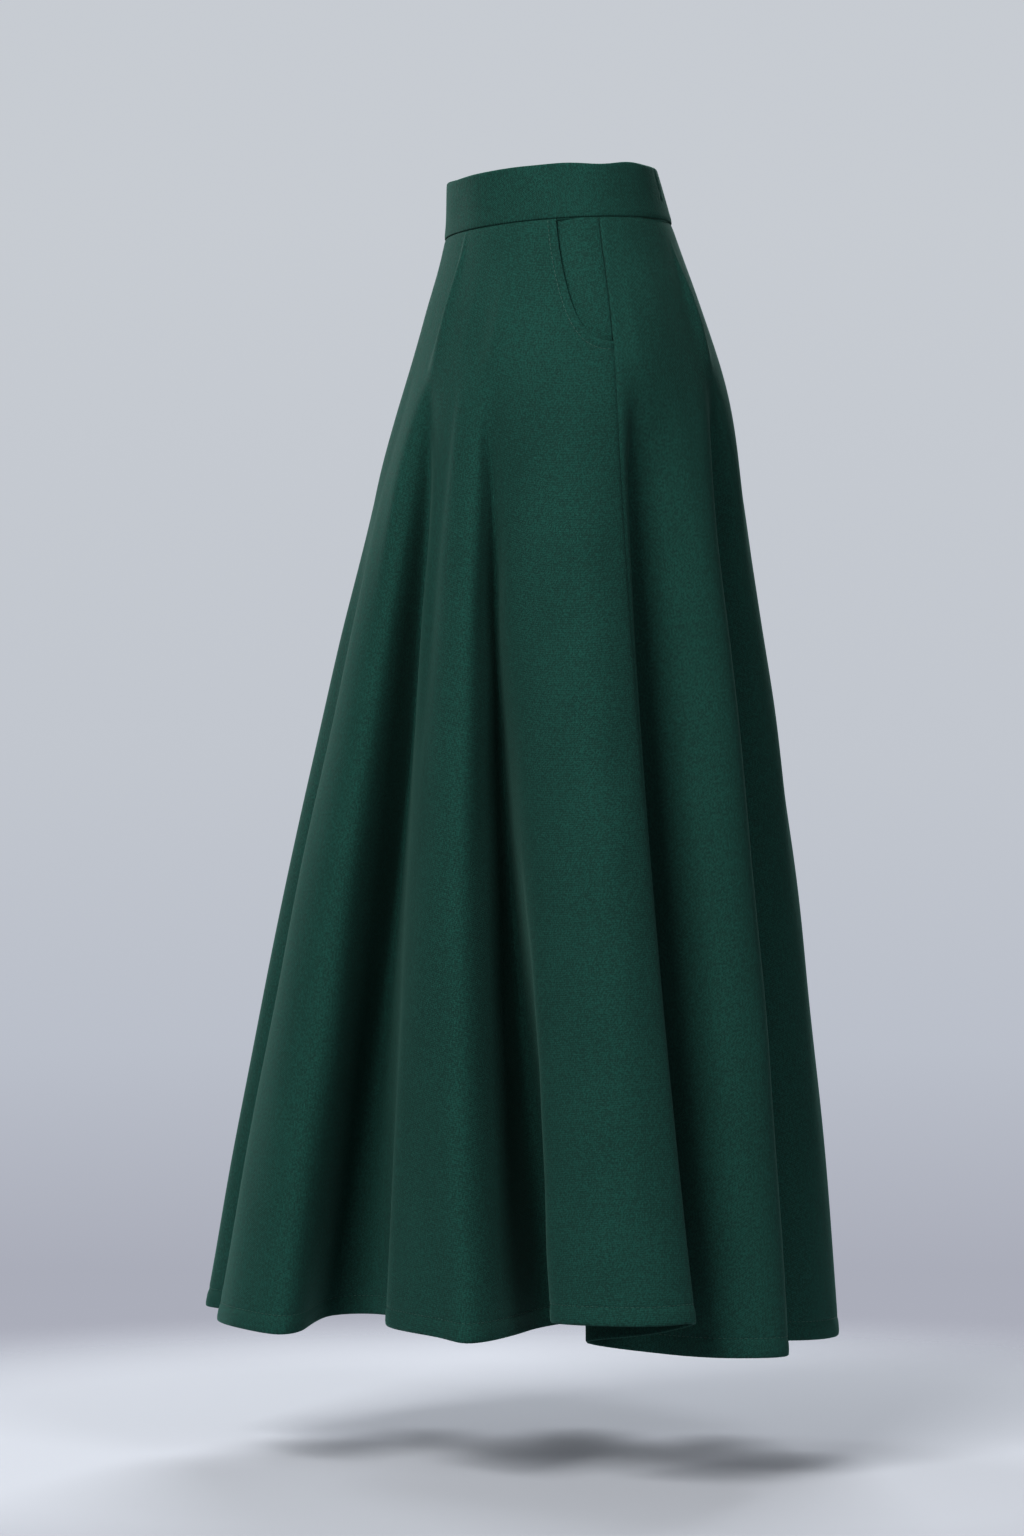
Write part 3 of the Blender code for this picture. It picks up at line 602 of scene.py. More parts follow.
# ---- relief of the cloth
# Soft creases: the line each lies by and how far across from it, the drop of its upper end, its length,
# width and height, and how far it leans over its length.
Crease = namedtuple("Crease", "line across drop length width height lean")
CREASES = [Crease(*row) for row in (
    ("r3", 0.010, 0.855, 0.045, 0.006, -0.0012, -0.010),
    ("r3", -0.020, 0.060, 0.150, 0.010, -0.0007, 0.012),
    ("r3_left", -0.012, 0.110, 0.210, 0.012, -0.0010, -0.014),
    ("r3_right", 0.004, 0.520, 0.190, 0.012, 0.0009, -0.016),
    ("r2", 0.008, 0.030, 0.130, 0.009, -0.0009, 0.006),
    ("v2_in", 0.010, 0.480, 0.160, 0.011, 0.0010, 0.020),
    ("r1", -0.015, 0.070, 0.190, 0.011, -0.0010, -0.010),
    ("r1_crest", 0.006, 0.540, 0.210, 0.013, 0.0012, 0.018),
    ("r0", 0.012, 0.200, 0.260, 0.014, -0.0012, 0.022),
    ("v9", -0.008, 0.050, 0.120, 0.009, -0.0009, -0.008),
    ("r9", 0.014, 0.600, 0.180, 0.012, 0.0011, -0.015),
    ("r4", 0.006, 0.090, 0.170, 0.010, -0.0010, 0.010),
    ("r4_edge", -0.010, 0.560, 0.200, 0.012, 0.0011, -0.012),
    ("r5", 0.012, 0.230, 0.240, 0.013, -0.0012, 0.018),
    ("r5_edge", -0.006, 0.700, 0.120, 0.010, 0.0010, 0.010),
    ("r6", -0.012, 0.110, 0.180, 0.011, -0.0011, -0.012),
    ("r7", 0.010, 0.420, 0.230, 0.013, -0.0012, 0.016),
    ("r7_edge", -0.008, 0.080, 0.140, 0.010, -0.0009, -0.009),
    ("r8", 0.012, 0.640, 0.170, 0.011, 0.0011, 0.014),
    ("v8", -0.010, 0.150, 0.200, 0.012, -0.0010, -0.016),
)]


def waves(s, drop, seed):
    """Slow unevenness of the cloth, as heights about zero. s runs round and drop runs down, in metres."""
    random = np.random.default_rng(seed)
    total = np.zeros(np.broadcast(s, drop).shape)
    for _ in range(WAVE_COUNT):
        across = 2 * math.pi / random.uniform(*WAVE_ACROSS)
        down = 2 * math.pi / random.uniform(*WAVE_DOWN)
        start = random.uniform(0, 2 * math.pi)
        total = total + np.sin(across * s * random.choice([-1, 1]) + down * drop + start)
    return total / math.sqrt(WAVE_COUNT)


def dip(distance, width):
    """A smooth trough, 1 deep at its middle."""
    return np.exp(-((distance / width) ** 2))


def rolled(distance, radius):
    """How far a rounded edge falls back at a distance from it."""
    part = np.clip(1 - distance / radius, 0, 1)
    return radius * (1 - np.sqrt(np.maximum(1 - part**2, 0)))


def line_place(grid, line):
    """Each row's s of a line of the table, or None where it is off the panel."""
    place_on = t_after(grid.base[0], line)
    if not grid.base[0] < place_on < grid.base[-1]:
        return None
    return np.array([[np.interp(place_on, t, s)] for t, s in zip(grid.t, grid.s)])


def creases(grid, drop):
    """Height of the creases."""
    total = np.zeros(drop.shape)
    for crease in CREASES:
        centre = line_place(grid, crease.line)
        if centre is None:
            continue
        along = (drop - crease.drop) / crease.length
        middle = centre + crease.across + crease.lean * along
        window = np.sin(math.pi * np.clip(along, 0, 1)) ** 2
        total += crease.height * window * dip(grid.s - middle, crease.width)
    return total


def pocket_relief(away):
    """Height near the pocket's edge: its turned edge, and the dip of its topstitching."""
    puff = smoothstep(1 - np.abs(away / STITCH_INSET - 0.5) * 2)
    return EDGE_PUFF * puff - STITCH_DIP * dip(away - STITCH_INSET, STITCH_DIP_WIDTH)


def hem_relief(s, drop, seed):
    """Height of the hem's turn, drawn in unevenly by its row of stitches."""
    line = drop - (PANEL_DROP - HEM_LINE)
    depth = HEM_DIP_MEAN + (1 - HEM_DIP_MEAN) * waves(s * HEM_WAVE_RATE, 0 * drop, seed)
    puff = smoothstep(line / HEM_PUFF_RISE) * smoothstep((HEM_LINE - line) / HEM_PUFF_FALL)
    return HEM_PUFF * puff - HEM_DIP * dip(line, HEM_DIP_WIDTH) * depth


def panel_relief(grid, drop, seed, scooped):
    """Height of a panel's outer face over the smooth cloth, and how far its rounded edges fall back."""
    edge = np.minimum(grid.left, grid.right)
    calm = smoothstep(drop / WAVE_BAND_FADE) * smoothstep(edge / WAVE_SEAM_FADE)
    height = creases(grid, drop)
    height += WAVE_HEIGHT * waves(grid.s - grid.s[:, -1:] / 2, drop, seed) * calm
    height -= TUCK * np.exp(-drop / TUCK_DROP)
    height += hem_relief(grid.s, drop, seed + 1)
    seam_dip = SEAM_DIP * dip(edge, SEAM_DIP_WIDTH)
    roll = rolled(edge, EDGE_ROLL)
    if scooped:
        away = np.minimum(scoop_distance(grid.left, drop), scoop_distance(grid.right, drop))
        height += pocket_relief(away)
        seam_dip *= smoothstep((drop - SCOOP_DROP) / SCOOP_FADE)
        roll = np.maximum(roll, rolled(away, POCKET_ROLL))
    return height - seam_dip, roll


# ---- panels
SCOOP_CURVE_STEPS = 400
SCOOP_CURVE_STRIDE = 4
SCOOP_FADE = 0.004  # the side seam's dip starts over this drop, under the scoop
SCOOP_NEAR = 0.02  # distances from the scoop's edge are measured this far past its box
SCOOP_FAR = 1.0  # and taken to be this farther out

# A panel's columns: their t before gaps and scoops are taken off, each point's t and s, and its distances
# from the two seams.
Grid = namedtuple("Grid", "base t s left right")

# The outer face of a finished panel: its points, the rows' drops, and the distances from the two seams.
Surface = namedtuple("Surface", "points normals rows from_first from_last")


def scoop_curve():
    """Points of the scoop's edge, as distance from the side seam and drop, from the waistband down."""
    turn = np.linspace(0, math.pi / 2, SCOOP_CURVE_STEPS)
    power = 2 / SCOOP_SQUARENESS
    return np.stack([SCOOP_WIDTH * np.cos(turn) ** power, SCOOP_DROP * np.sin(turn) ** power], -1)


def scoop_rows(count):
    """Drops of rows that lie evenly along the scoop's edge, under the first."""
    curve = scoop_curve()
    run = run_along(curve)
    return np.interp(np.linspace(0, run[-1], count), run, curve[:, 1])[1:]


def scoop_distance(x, drop):
    """Distance from the scoop's edge, of points x from the side seam and drop under the waistband."""
    curve = scoop_curve()[::SCOOP_CURVE_STRIDE]
    flat = np.stack([x.ravel(), drop.ravel()], -1)
    near = np.full(len(flat), SCOOP_FAR)
    close = (flat[:, 0] < SCOOP_WIDTH + SCOOP_NEAR) & (flat[:, 1] < SCOOP_DROP + SCOOP_NEAR)
    near[close] = np.linalg.norm(flat[close][:, None] - curve[None], axis=2).min(1)
    return near.reshape(drop.shape)


def panel_rows():
    """Drops of the panels' rows, dense along the pockets' edge and at the hem."""
    scoop = scoop_rows(int(SCOOP_ROWS * GRAIN))
    steps = np.arange(1, int(BELOW_SCOOP_ROWS * GRAIN) + 1)
    below = SCOOP_DROP + steps * BELOW_SCOOP_STEP / GRAIN
    hem_start = PANEL_DROP - HEM_LINE - HEM_ROWS_RISE
    count = int((hem_start - below[-1]) / BODY_ROW_STEP * GRAIN) + 2
    body = np.linspace(below[-1], hem_start, count)[1:]
    hem = np.linspace(hem_start, PANEL_DROP - WALL, int(HEM_ROWS * GRAIN))[1:]
    return np.concatenate([TUCK_ROWS, scoop, below, body, hem])


def panel_columns(first, last, anchors):
    """The t of a panel's columns, and the two t that stay in place on every row.

    The columns lie evenly round the cloth, and even in t between a scooped seam and its anchor."""
    begin = T_OF[first]
    end = t_after(begin, last)
    inner = [t_after(begin, name) for name in anchors] if anchors else [begin, end]
    fine = np.linspace(*inner, COLUMN_SAMPLES)
    run = arc_lengths(fine, COLUMN_LEVEL)
    middle = np.interp(np.linspace(0, run[-1], int(run[-1] / COLUMN_STEP * GRAIN)), run, fine)
    if not anchors:
        return middle, [middle[1], middle[-2]]
    count = int(SIDE_COLUMNS * GRAIN) + 1
    sides = [np.linspace(begin, inner[0], count), np.linspace(inner[1], end, count)]
    return np.concatenate([sides[0], middle[1:-1], sides[1]]), inner


def half_gap(seam, drop):
    """Half the gap at a seam: open along the zip, sewn edge to edge elsewhere."""
    opened = seam == "seam_back" and drop <= ZIP_DROP
    return (CB_GAP if opened else SEAM_JOIN) / 2


def panel_grid(first, last, anchors, rows):
    """The grid of a panel: each row walks in from the two seams by its gaps and scoops."""
    base, held = panel_columns(first, last, anchors)
    t = np.empty((len(rows), len(base)))
    s = np.empty_like(t)
    left = np.empty_like(t)
    right = np.empty_like(t)
    for r, drop in enumerate(rows):
        v = drop / PANEL_DROP
        scoop = float(scoop_width(drop)) if anchors else 0.0
        begin = walk(base[0], v, half_gap(first, drop) + scoop)
        end = walk(base[-1], v, -half_gap(last, drop) - scoop)
        t[r] = np.interp(base, [base[0], *held, base[-1]], [begin, *held, end])
        s[r] = arc_lengths(t[r], v)
        left[r] = s[r] + scoop
        right[r] = s[r, -1] - s[r] + scoop
    return Grid(base, t, s, left, right)


def flat_cloth(grid, rows):
    """Each point's place on the flat cut, a sector of a cone."""
    widths = grid.s[:, -1]
    flare = (widths[-1] - widths[0]) / (rows[-1] - rows[0])
    radius = (widths[0] / flare + rows)[:, None]
    turn = (grid.s - widths[:, None] / 2) / radius
    return np.stack([radius * np.sin(turn), -radius * np.cos(turn)], -1)


def panel(name, first, last, seed, anchors=None):
    """A panel between two seams, a closed wall with rolled edges and a turned hem, and its outer face."""
    rows = panel_rows()
    grid = panel_grid(first, last, anchors, rows)
    drop = rows[:, None] + 0 * grid.t
    height, roll = panel_relief(grid, drop, seed, bool(anchors))
    thickness = np.where(drop >= PANEL_DROP - HEM_TURN, 2 * WALL, WALL)
    face, normal, fall = face_frame(grid.t, drop / PANEL_DROP)
    outer = face + normal * (height - roll)[..., None]
    inside = face + normal * (np.minimum(height, 0) - thickness + roll)[..., None]
    piece = hung_wall(name, outer, inside, fall, WALL, HEM_ARC_POINTS, flat_cloth(grid, rows), WOOL)
    return piece, Surface(outer, normal, rows, grid.left, grid.right)


# ---- waistband
BAND_COLUMNS = 420
BAND_ROWS = 26
BAND_ARC_POINTS = 6
BAND_WAVE = 0.00045
BAND_TOP_WAVE = 0.0007
BAND_DITCH = 0.0006  # the lower edge is drawn in by its seam
BAND_DITCH_WIDTH = 0.0022
BAND_CREASE_FADE = 0.008

# Soft creases of the band: bearing, height of the lower end, width and depth of the trough, and the depth
# of the dimple at its lower end.
BandCrease = namedtuple("BandCrease", "bearing low width depth dimple")
BAND_CREASES = [
    BandCrease(137, -0.004, 0.0030, 0.0009, 0.0011),
    BandCrease(-148, 0.002, 0.0036, 0.0006, 0.0006),
    BandCrease(38, 0.006, 0.0045, 0.0003, 0.0),
    BandCrease(-62, 0.000, 0.0040, 0.0004, 0.0003),
]
DIMPLE_RADIUS = 0.0026


def band_crease_depth(s, level):
    """Depth of the band's creases at s round the band and a height."""
    total = np.zeros(np.broadcast(s, level).shape)
    for crease in BAND_CREASES:
        across = s - math.radians(crease.bearing) * section_value("side", 0.0)
        upper = smoothstep((level - crease.low) / BAND_CREASE_FADE)
        total += crease.depth * dip(across, crease.width) * upper
        total += crease.dimple * dip(np.hypot(across, level - crease.low), DIMPLE_RADIUS)
    return total


def waistband():
    """One folded strip from edge to edge at the centre back, its upper edge a soft fold."""
    radius = BAND_WALL / 2
    opening = math.degrees(math.asin(CB_GAP / 2 / section_value("side", 0.0)))
    bearing = np.linspace(-180 + opening, 180 - opening, int(BAND_COLUMNS * GRAIN))[None, :]
    level = np.linspace(-SEAM_Z - radius, SEAM_Z + radius, int(BAND_ROWS * GRAIN))[:, None]
    s = np.radians(bearing) * section_value("side", 0.0)
    up = (level - SEAM_Z) / BAND_HEIGHT
    swell = BAND_WAVE * waves(s, level - SEAM_Z, WAVE_SEED) * np.sqrt(np.sin(math.pi * np.clip(up, 0, 1)))
    ditch = BAND_DITCH * dip(level - SEAM_Z, BAND_DITCH_WIDTH)
    edge = np.minimum(s - s[:, :1], s[:, -1:] - s) + 0 * level
    roll = rolled(edge, radius - EDGE_FLAT)
    lift = BAND_TOP_WAVE * waves(s, 0 * s, WAVE_SEED + 1) * smoothstep(up)
    outer_depth = -BAND_PROUD - swell + ditch + roll + band_crease_depth(s, level)
    inner_depth = BAND_WALL - BAND_PROUD - roll + 0 * outer_depth

    def edge_arc(row, sign, turns):
        middle = (outer_depth[row] + inner_depth[row]) / 2
        reach = (inner_depth[row] - outer_depth[row]) / 2
        for turn in turns:
            z = level[row] + lift[row] + sign * radius * math.sin(turn)
            yield band_points(bearing, z[None, :], (middle - reach * math.cos(turn))[None, :])

    turns = half_turns(BAND_ARC_POINTS)
    half = BAND_ARC_POINTS // 2
    top = list(edge_arc(0, 1, turns))
    bottom = list(edge_arc(-1, -1, turns))
    outer = band_points(bearing, level + lift, outer_depth)
    inside = band_points(bearing, level + lift, inner_depth)
    ring = np.concatenate([*top[:half][::-1], outer, *bottom, inside[::-1], *top[half:][::-1]])
    upper = [level[0]] * half
    heights = np.concatenate([upper, level, [level[-1]] * BAND_ARC_POINTS, level[::-1], upper])
    uv = np.stack(np.broadcast_arrays(s, heights), -1)
    return ring_sheet("waistband_cloth", ring, uv, WOOL)


# ---- pockets
POUCH_ROWS = 58
POUCH_SCOOP_SHARE = 0.6  # of its rows, beside the scoop
POUCH_BAG_COLUMNS = 30
POUCH_SHOWN_COLUMNS = 34
FLAT_ARC_POINTS = 2


def pouch_rows():
    scoop = scoop_rows(int(POUCH_ROWS * POUCH_SCOOP_SHARE * GRAIN))
    lower = np.linspace(SCOOP_DROP, POUCH_END, int(POUCH_ROWS * (1 - POUCH_SCOOP_SHARE) * GRAIN))
    return np.concatenate([TUCK_ROWS, scoop, lower[1:]])


def pouch_columns(drop):
    """Distances from the side seam of the bag's columns and of the hip piece's shown columns."""
    part = (drop / POUCH_DROP) ** POUCH_SQUARENESS
    far = POUCH_WIDTH * (1 - part) ** (1 / POUCH_SQUARENESS)
    near = float(scoop_width(drop)) + BAG_SETBACK
    bag = np.linspace(far, near, int(POUCH_BAG_COLUMNS * GRAIN))
    shown = np.linspace(near, GAP / 2, int(POUCH_SHOWN_COLUMNS * GRAIN) + 1)[1:]
    return bag, shown


def flat_wall(name, rows, t, distances, depth, thickness, tuck, material):
    """A closed wall at a depth under the outer face, with rolled edges."""
    drop = rows[:, None] + 0 * t
    run = np.abs(distances - distances[:, :1])
    edge = np.minimum(run, run[:, -1:] - run)
    roll = rolled(edge, thickness / 2 - EDGE_FLAT)
    dips = tuck * TUCK * np.exp(-drop / TUCK_DROP) + tuck * SEAM_DIP * dip(distances, SEAM_DIP_WIDTH)
    face, normal, fall = face_frame(t, drop / PANEL_DROP)
    outer = face - normal * (depth + roll + dips)[..., None]
    inside = face - normal * (depth + thickness - roll + dips)[..., None]
    uv = np.stack([distances, -drop], -1)
    return hung_wall(name, outer, inside, fall, thickness / 2, FLAT_ARC_POINTS, uv, material)


def pocket(side, seam, towards_front):
    """The hip piece shows in the scoop and is the pouch's back layer. The bag is the front layer."""
    rows = pouch_rows()
    columns = [pouch_columns(drop) for drop in rows]
    bag = np.array([pair[0] for pair in columns])
    hip = np.array([np.concatenate(pair) for pair in columns])
    exposed = scoop_width(rows)[:, None] - hip
    hip_depth = HIP_DEPTH * (1 - smoothstep(exposed / SHOWN_RISE))
    levels = rows / PANEL_DROP
    made = []
    for name, distances, depth, thickness, tuck, material in [
        ("pocket_bag_cloth_" + side, bag, BAG_DEPTH + 0 * bag, BAG_WALL, 0, BAG_CLOTH),
        ("hip_piece_cloth_" + side, hip, hip_depth, WALL, 1, WOOL),
    ]:
        t = np.array([walk(T_OF[seam], v, towards_front * row) for v, row in zip(levels, distances)])
        # The columns run with rising t.
        grids = [grid[:, ::-towards_front] for grid in (t, distances, depth)]
        made.append(flat_wall(name, rows, *grids, thickness, tuck, material))
    return made


# ---- stitches
STITCH_LENGTH = 0.0031
STITCH_PITCH = 0.0039
THREAD_RADIUS = 0.00024
STITCH_SIDES = 6
STITCH_AHEAD = 0.0005  # from a stitch's middle to the point that it heads for
HEM_STITCH_PITCH = 0.0042

# Rings of a stitch: place in its length, and height and width over the thread's radius.
STITCH_RINGS = [(-0.5, -0.9, 0.6), (-0.3, 0.2, 1.0), (0.0, 0.55, 1.0), (0.3, 0.2, 1.0), (0.5, -0.9, 0.6)]


def on_surface(surface, side, x, drop):
    """The point and the normal of a panel's outer face at x from its first or last seam and a drop."""
    r = int(np.clip(np.searchsorted(surface.rows, drop) - 1, 0, len(surface.rows) - 2))
    share = (drop - surface.rows[r]) / (surface.rows[r + 1] - surface.rows[r])
    distances = surface.from_first if side == "first" else surface.from_last
    step = 1 if side == "first" else -1
    found = []
    for grid in (surface.points, surface.normals):
        upper, lower = (sampled(x, distances[row, ::step], grid[row, ::step]) for row in (r, r + 1))
        found.append(upper * (1 - share) + lower * share)
    return found[0], found[1] / np.linalg.norm(found[1])


def stitches(name, centres, normals, directions):
    """Short threads in one mesh, each sunk into the cloth at its two ends."""
    points = []
    faces = []
    for centre, normal, along in zip(centres, normals, directions):
        along = along - normal * np.dot(along, normal)
        along /= np.linalg.norm(along)
        across = np.cross(normal, along)
        start = len(points)
        for step, rise, width in STITCH_RINGS:
            middle = centre + along * (step * STITCH_LENGTH) + normal * (rise * THREAD_RADIUS)
            for k in range(STITCH_SIDES):
                turn = 2 * math.pi * k / STITCH_SIDES
                spoke = across * math.cos(turn) + normal * math.sin(turn)
                points.append(middle + spoke * (width * THREAD_RADIUS))
        for ring in range(len(STITCH_RINGS) - 1):
            for k in range(STITCH_SIDES):
                a = start + ring * STITCH_SIDES + k
                b = start + ring * STITCH_SIDES + (k + 1) % STITCH_SIDES
                faces.append((a, a + STITCH_SIDES, b + STITCH_SIDES, b))
    return new_object(name, points, faces, THREAD)


def topstitching(name, surface, side):
    """The row of stitches that follows the pocket's edge."""
    curve = scoop_curve()
    tangent = np.gradient(curve, axis=0)
    tangent /= np.linalg.norm(tangent, axis=1, keepdims=True)
    away = np.stack([tangent[:, 1], -tangent[:, 0]], -1)
    path = curve + away * STITCH_INSET
    path = path[path[:, 0] > 2 * GAP]
    run = run_along(path)
    centres = np.arange(STITCH_PITCH / 2, run[-1], STITCH_PITCH)
    found = []
    for lengths in (centres, centres + STITCH_AHEAD):
        pairs = [on_surface(surface, side, *pair) for pair in sampled(lengths, run, path)]
        found.append(np.array(pairs))
    here, ahead = found
    return stitches(name, here[:, 0], here[:, 1], ahead[:, 0] - here[:, 0])


def hem_stitching(name, surface):
    """The row of stitches that holds the hem's turn."""
    drop = PANEL_DROP - HEM_LINE
    row = int(np.argmin(np.abs(surface.rows - drop)))
    path = surface.points[row]
    run = run_along(path)
    centres = np.arange(HEM_STITCH_PITCH, run[-1] - HEM_STITCH_PITCH, HEM_STITCH_PITCH)
    here = sampled(centres, run, path)
    ahead = sampled(centres + STITCH_AHEAD, run, path)
    return stitches(name, here, sampled(centres, run, surface.normals[row]), ahead - here)


# ---- zip
ZIP_LAST_V = 0.225
TAPE_SETTLED_V = 0.055  # where the tapes, from their place behind the band, reach the panels
CHAIN_LEVELS = 9
CHAIN_ROWS = 60
TAPE_COLUMNS = 9
COIL_PITCH = 0.00125
COIL_REACH = 0.00085  # half the width of one row of coils
COIL_SETBACK = 0.00070  # from the centre back to a row's middle
COIL_DEPTH = 0.00050
COIL_WIRE = 0.00024
COIL_TURN_POINTS = 8
COIL_SIDES = 5
CHAIN_WALL = 0.0014


def zip_path(distances, under):
    """Points at distances from the centre back, on the zip's rows, at a depth under the tapes' face."""
    grid = []
    for z in np.linspace(-SEAM_Z - TAPE_TOP_DROP, SEAM_Z, CHAIN_LEVELS):
        bearing = 180 + np.degrees(np.arcsin(distances / section_value("side", z)))
        grid.append(band_points(bearing, z, TAPE_BAND_DEPTH + under))
    for v in np.linspace(0, ZIP_LAST_V, CHAIN_ROWS):
        depth = np.interp(v, [0.0, TAPE_SETTLED_V], [TAPE_BAND_DEPTH, TAPE_PANEL_DEPTH]) + under
        t = np.full(len(distances), T_OF["seam_back"])
        for half in (distances < 0, distances > 0):
            t[half] = walk(T_OF["seam_back"], v, distances[half])
        face, normal, _ = face_frame(t, np.full_like(t, v))
        grid.append(face - normal * depth)
    return np.array(grid)


def zip_tape(name, side):
    """A tape of the zip, behind one edge of the opening."""
    distances = np.linspace(TAPE_EDGE, TAPE_EDGE + TAPE_WIDTH, TAPE_COLUMNS)
    if side < 0:
        distances = -distances[::-1]
    outer = zip_path(distances, 0.0)
    inside = zip_path(distances, BAG_WALL)
    fall = -run_along(outer[:, 0])
    uv = np.stack(np.broadcast_arrays(distances[None, :], fall[:, None]), -1)
    return ring_sheet(name, np.concatenate([outer, inside[::-1]]), np.concatenate([uv, uv[::-1]]), TAPE)


def tube(points, radius, sides, frame_up):
    """Rings of points round a path, and the faces between them."""
    along = np.gradient(points, axis=0)
    along /= np.linalg.norm(along, axis=1, keepdims=True)
    across = np.cross(along, frame_up)
    across /= np.linalg.norm(across, axis=1, keepdims=True)
    up = np.cross(across, along)
    turns = 2 * math.pi * np.arange(sides) / sides
    spokes = across[:, None] * np.cos(turns)[None, :, None] + up[:, None] * np.sin(turns)[None, :, None]
    rings = points[:, None] + spokes * radius
    index = np.arange(len(points) * sides).reshape(len(points), sides)
    turned = np.roll(index, -1, axis=1)
    faces = np.stack([index[:-1], turned[:-1], turned[1:], index[1:]], -1).reshape(-1, 4)
    return rings.reshape(-1, 3), faces


def zip_coils():
    """Two rows of coils that hook into each other, from the slider down to the stop."""
    middle = zip_path(np.array([0.0]), BAG_WALL + GAP + CHAIN_WALL / 2)[:, 0]
    middle = middle[middle[:, 2] < CHAIN_TOP_Z + BAND_TILT * middle[0, 1]]
    run = run_along(middle)
    count = int(run[-1] / COIL_PITCH) * COIL_TURN_POINTS
    down = np.gradient(middle, axis=0)
    down /= np.linalg.norm(down, axis=1, keepdims=True)
    points = []
    faces = []
    start = 0
    for side in (-1, 1):
        length = np.linspace(0, run[-1], count)
        turn = 2 * math.pi * length / COIL_PITCH + (math.pi if side > 0 else 0)
        centre = sampled(length, run, middle)
        fall = sampled(length, run, down)
        across = np.array([1.0, 0.0, 0.0])
        inward = np.cross(fall, across)
        x = side * COIL_SETBACK + COIL_REACH * np.cos(turn)
        path = centre + across * x[:, None] + inward * (COIL_DEPTH * np.sin(turn))[:, None]
        rings, quads = tube(path, COIL_WIRE, COIL_SIDES, fall)
        points.append(rings)
        faces.append(quads + start)
        start += len(rings)
    return new_object("zip_coils", np.concatenate(points), np.concatenate(faces), COIL)


# ---- the pieces on the frame
FRONT_CUT = (1.31, 0.915)
LEFT_CUT = (0.71, 0.955)
RIGHT_CUT = (0.53, 0.955)
# Areas of the flat pieces that aren't rectangles.
TRAPEZOID = {"front": 0.745, "left": 0.431, "right": 0.327, "hip": 0.0215, "bag": 0.0150}


def place(piece, body, slot_name, *nodes):
    """Puts a piece on the frame."""
    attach(piece, body)
    if nodes:
        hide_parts(*nodes)
    return piece


def dress_frame():
    band = place(waistband(), "skirt", "wool_cloth", "waistband")
    front, front_face = panel("front_panel_cloth", "seam_right", "seam_left", WAVE_SEED, ("r9", "v2_in"))
    left, left_face = panel("back_left_cloth", "seam_left", "seam_back", WAVE_SEED + 2)
    right, right_face = panel("back_right_cloth", "seam_back", "seam_right", WAVE_SEED + 4)
    for piece, node, cut, area in [
        (front, "front_panel", FRONT_CUT, TRAPEZOID["front"]),
        (left, "back_panel_left", LEFT_CUT, TRAPEZOID["left"]),
        (right, "back_panel_right", RIGHT_CUT, TRAPEZOID["right"]),
    ]:
        place(piece, "skirt", "wool_cloth", node)
    for side, seam, towards_front in (("left", "seam_left", -1), ("right", "seam_right", 1)):
        bag, hip = pocket(side, seam, towards_front)
        place(bag, "skirt", "bag_cloth", "pocket_bag_" + side)
        place(hip, "skirt", "wool_cloth", "hip_piece_" + side)
    for name, surface, side in (("left", front_face, "last"), ("right", front_face, "first")):
        place(topstitching("pocket_stitches_" + name, surface, side), "skirt", "wool_cloth")
    for name, surface in (("front", front_face), ("back_left", left_face), ("back_right", right_face)):
        place(hem_stitching("hem_stitches_" + name, surface), "skirt", "wool_cloth")
    for name, side in (("left", -1), ("right", 1)):
        tape = place(zip_tape("zip_tape_cloth_" + name, side), "skirt", "zip_tape", "zip_tape_" + name)
    place(zip_coils(), "skirt", "zip_metal", "zip_chain")
    for node in ("zip_slider", "zip_pull", "zip_stop"):
        for material_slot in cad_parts[node].material_slots:
            material_slot.material = METAL


# ---- studio
CAMERA_AZIMUTH = 70
CAMERA_DISTANCE = 4.0
CAMERA_SHIFT_LEFT = 0.035
CAMERA_HEIGHT = -0.50
CAMERA_PITCH = math.radians(0.47)
FOCAL_PIXELS = 4819
PICTURE_PIXELS = 1536
SENSOR = 36.0
CLIP_END = 100
FLOOR_Z = -1.035
FLOOR_CENTRE = (-0.10, 0.04)
FLOOR_CLEAR = 0.55  # radius where the floor starts to fade into the backdrop
FLOOR_END = 1.05
FLOOR_SIDES = 96
FLOOR_COLOUR = (0.390, 0.402, 0.432)
FLOOR_GLOW = (0.125, 0.132, 0.146)  # light that the studio's walls would throw into the shadow
AMBIENT = (0.80, 0.90, 1.0)
AMBIENT_POWER = 0.012
CONTRAST = 1.3  # of the photograph's print: what is seen is the scene's light to this power

# Heights in the camera's view of the backdrop, as sines of the elevation, and the colours there.
BACKDROP = [
    (-0.14, (0.42, 0.43, 0.50)),
    (-0.095, (0.40, 0.415, 0.485)),
    (-0.05, (0.49, 0.52, 0.59)),
    (0.01, (0.535, 0.565, 0.62)),
    (0.12, (0.57, 0.60, 0.645)),
]

LAMP_DISTANCE = 4.4
LAMP_TARGET = Vector((0, 0, -0.45))

# The last two light the sides that the photograph doesn't show.
Lamp = namedtuple("Lamp", "name azimuth elevation size watts colour")
LAMPS = [
    Lamp("key", 38, 38, 2.0, 235, (1.0, 0.99, 0.97)),
    Lamp("side", 106, 22, 1.6, 86, (0.99, 0.99, 1.0)),
    Lamp("low", 3, 8, 1.6, 24, (0.99, 0.99, 1.0)),
    Lamp("behind", 240, 36, 2.0, 200, (0.98, 0.99, 1.0)),
    Lamp("right", 290, 18, 1.6, 105, (0.98, 0.99, 1.0)),
]


def direction(azimuth, elevation):
    """Unit vector from the object outwards. Azimuth 0 is the wearer's front, 90 their left."""
    turn = math.radians(azimuth)
    rise = math.radians(elevation)
    return Vector((math.sin(turn) * math.cos(rise), -math.cos(turn) * math.cos(rise), math.sin(rise)))


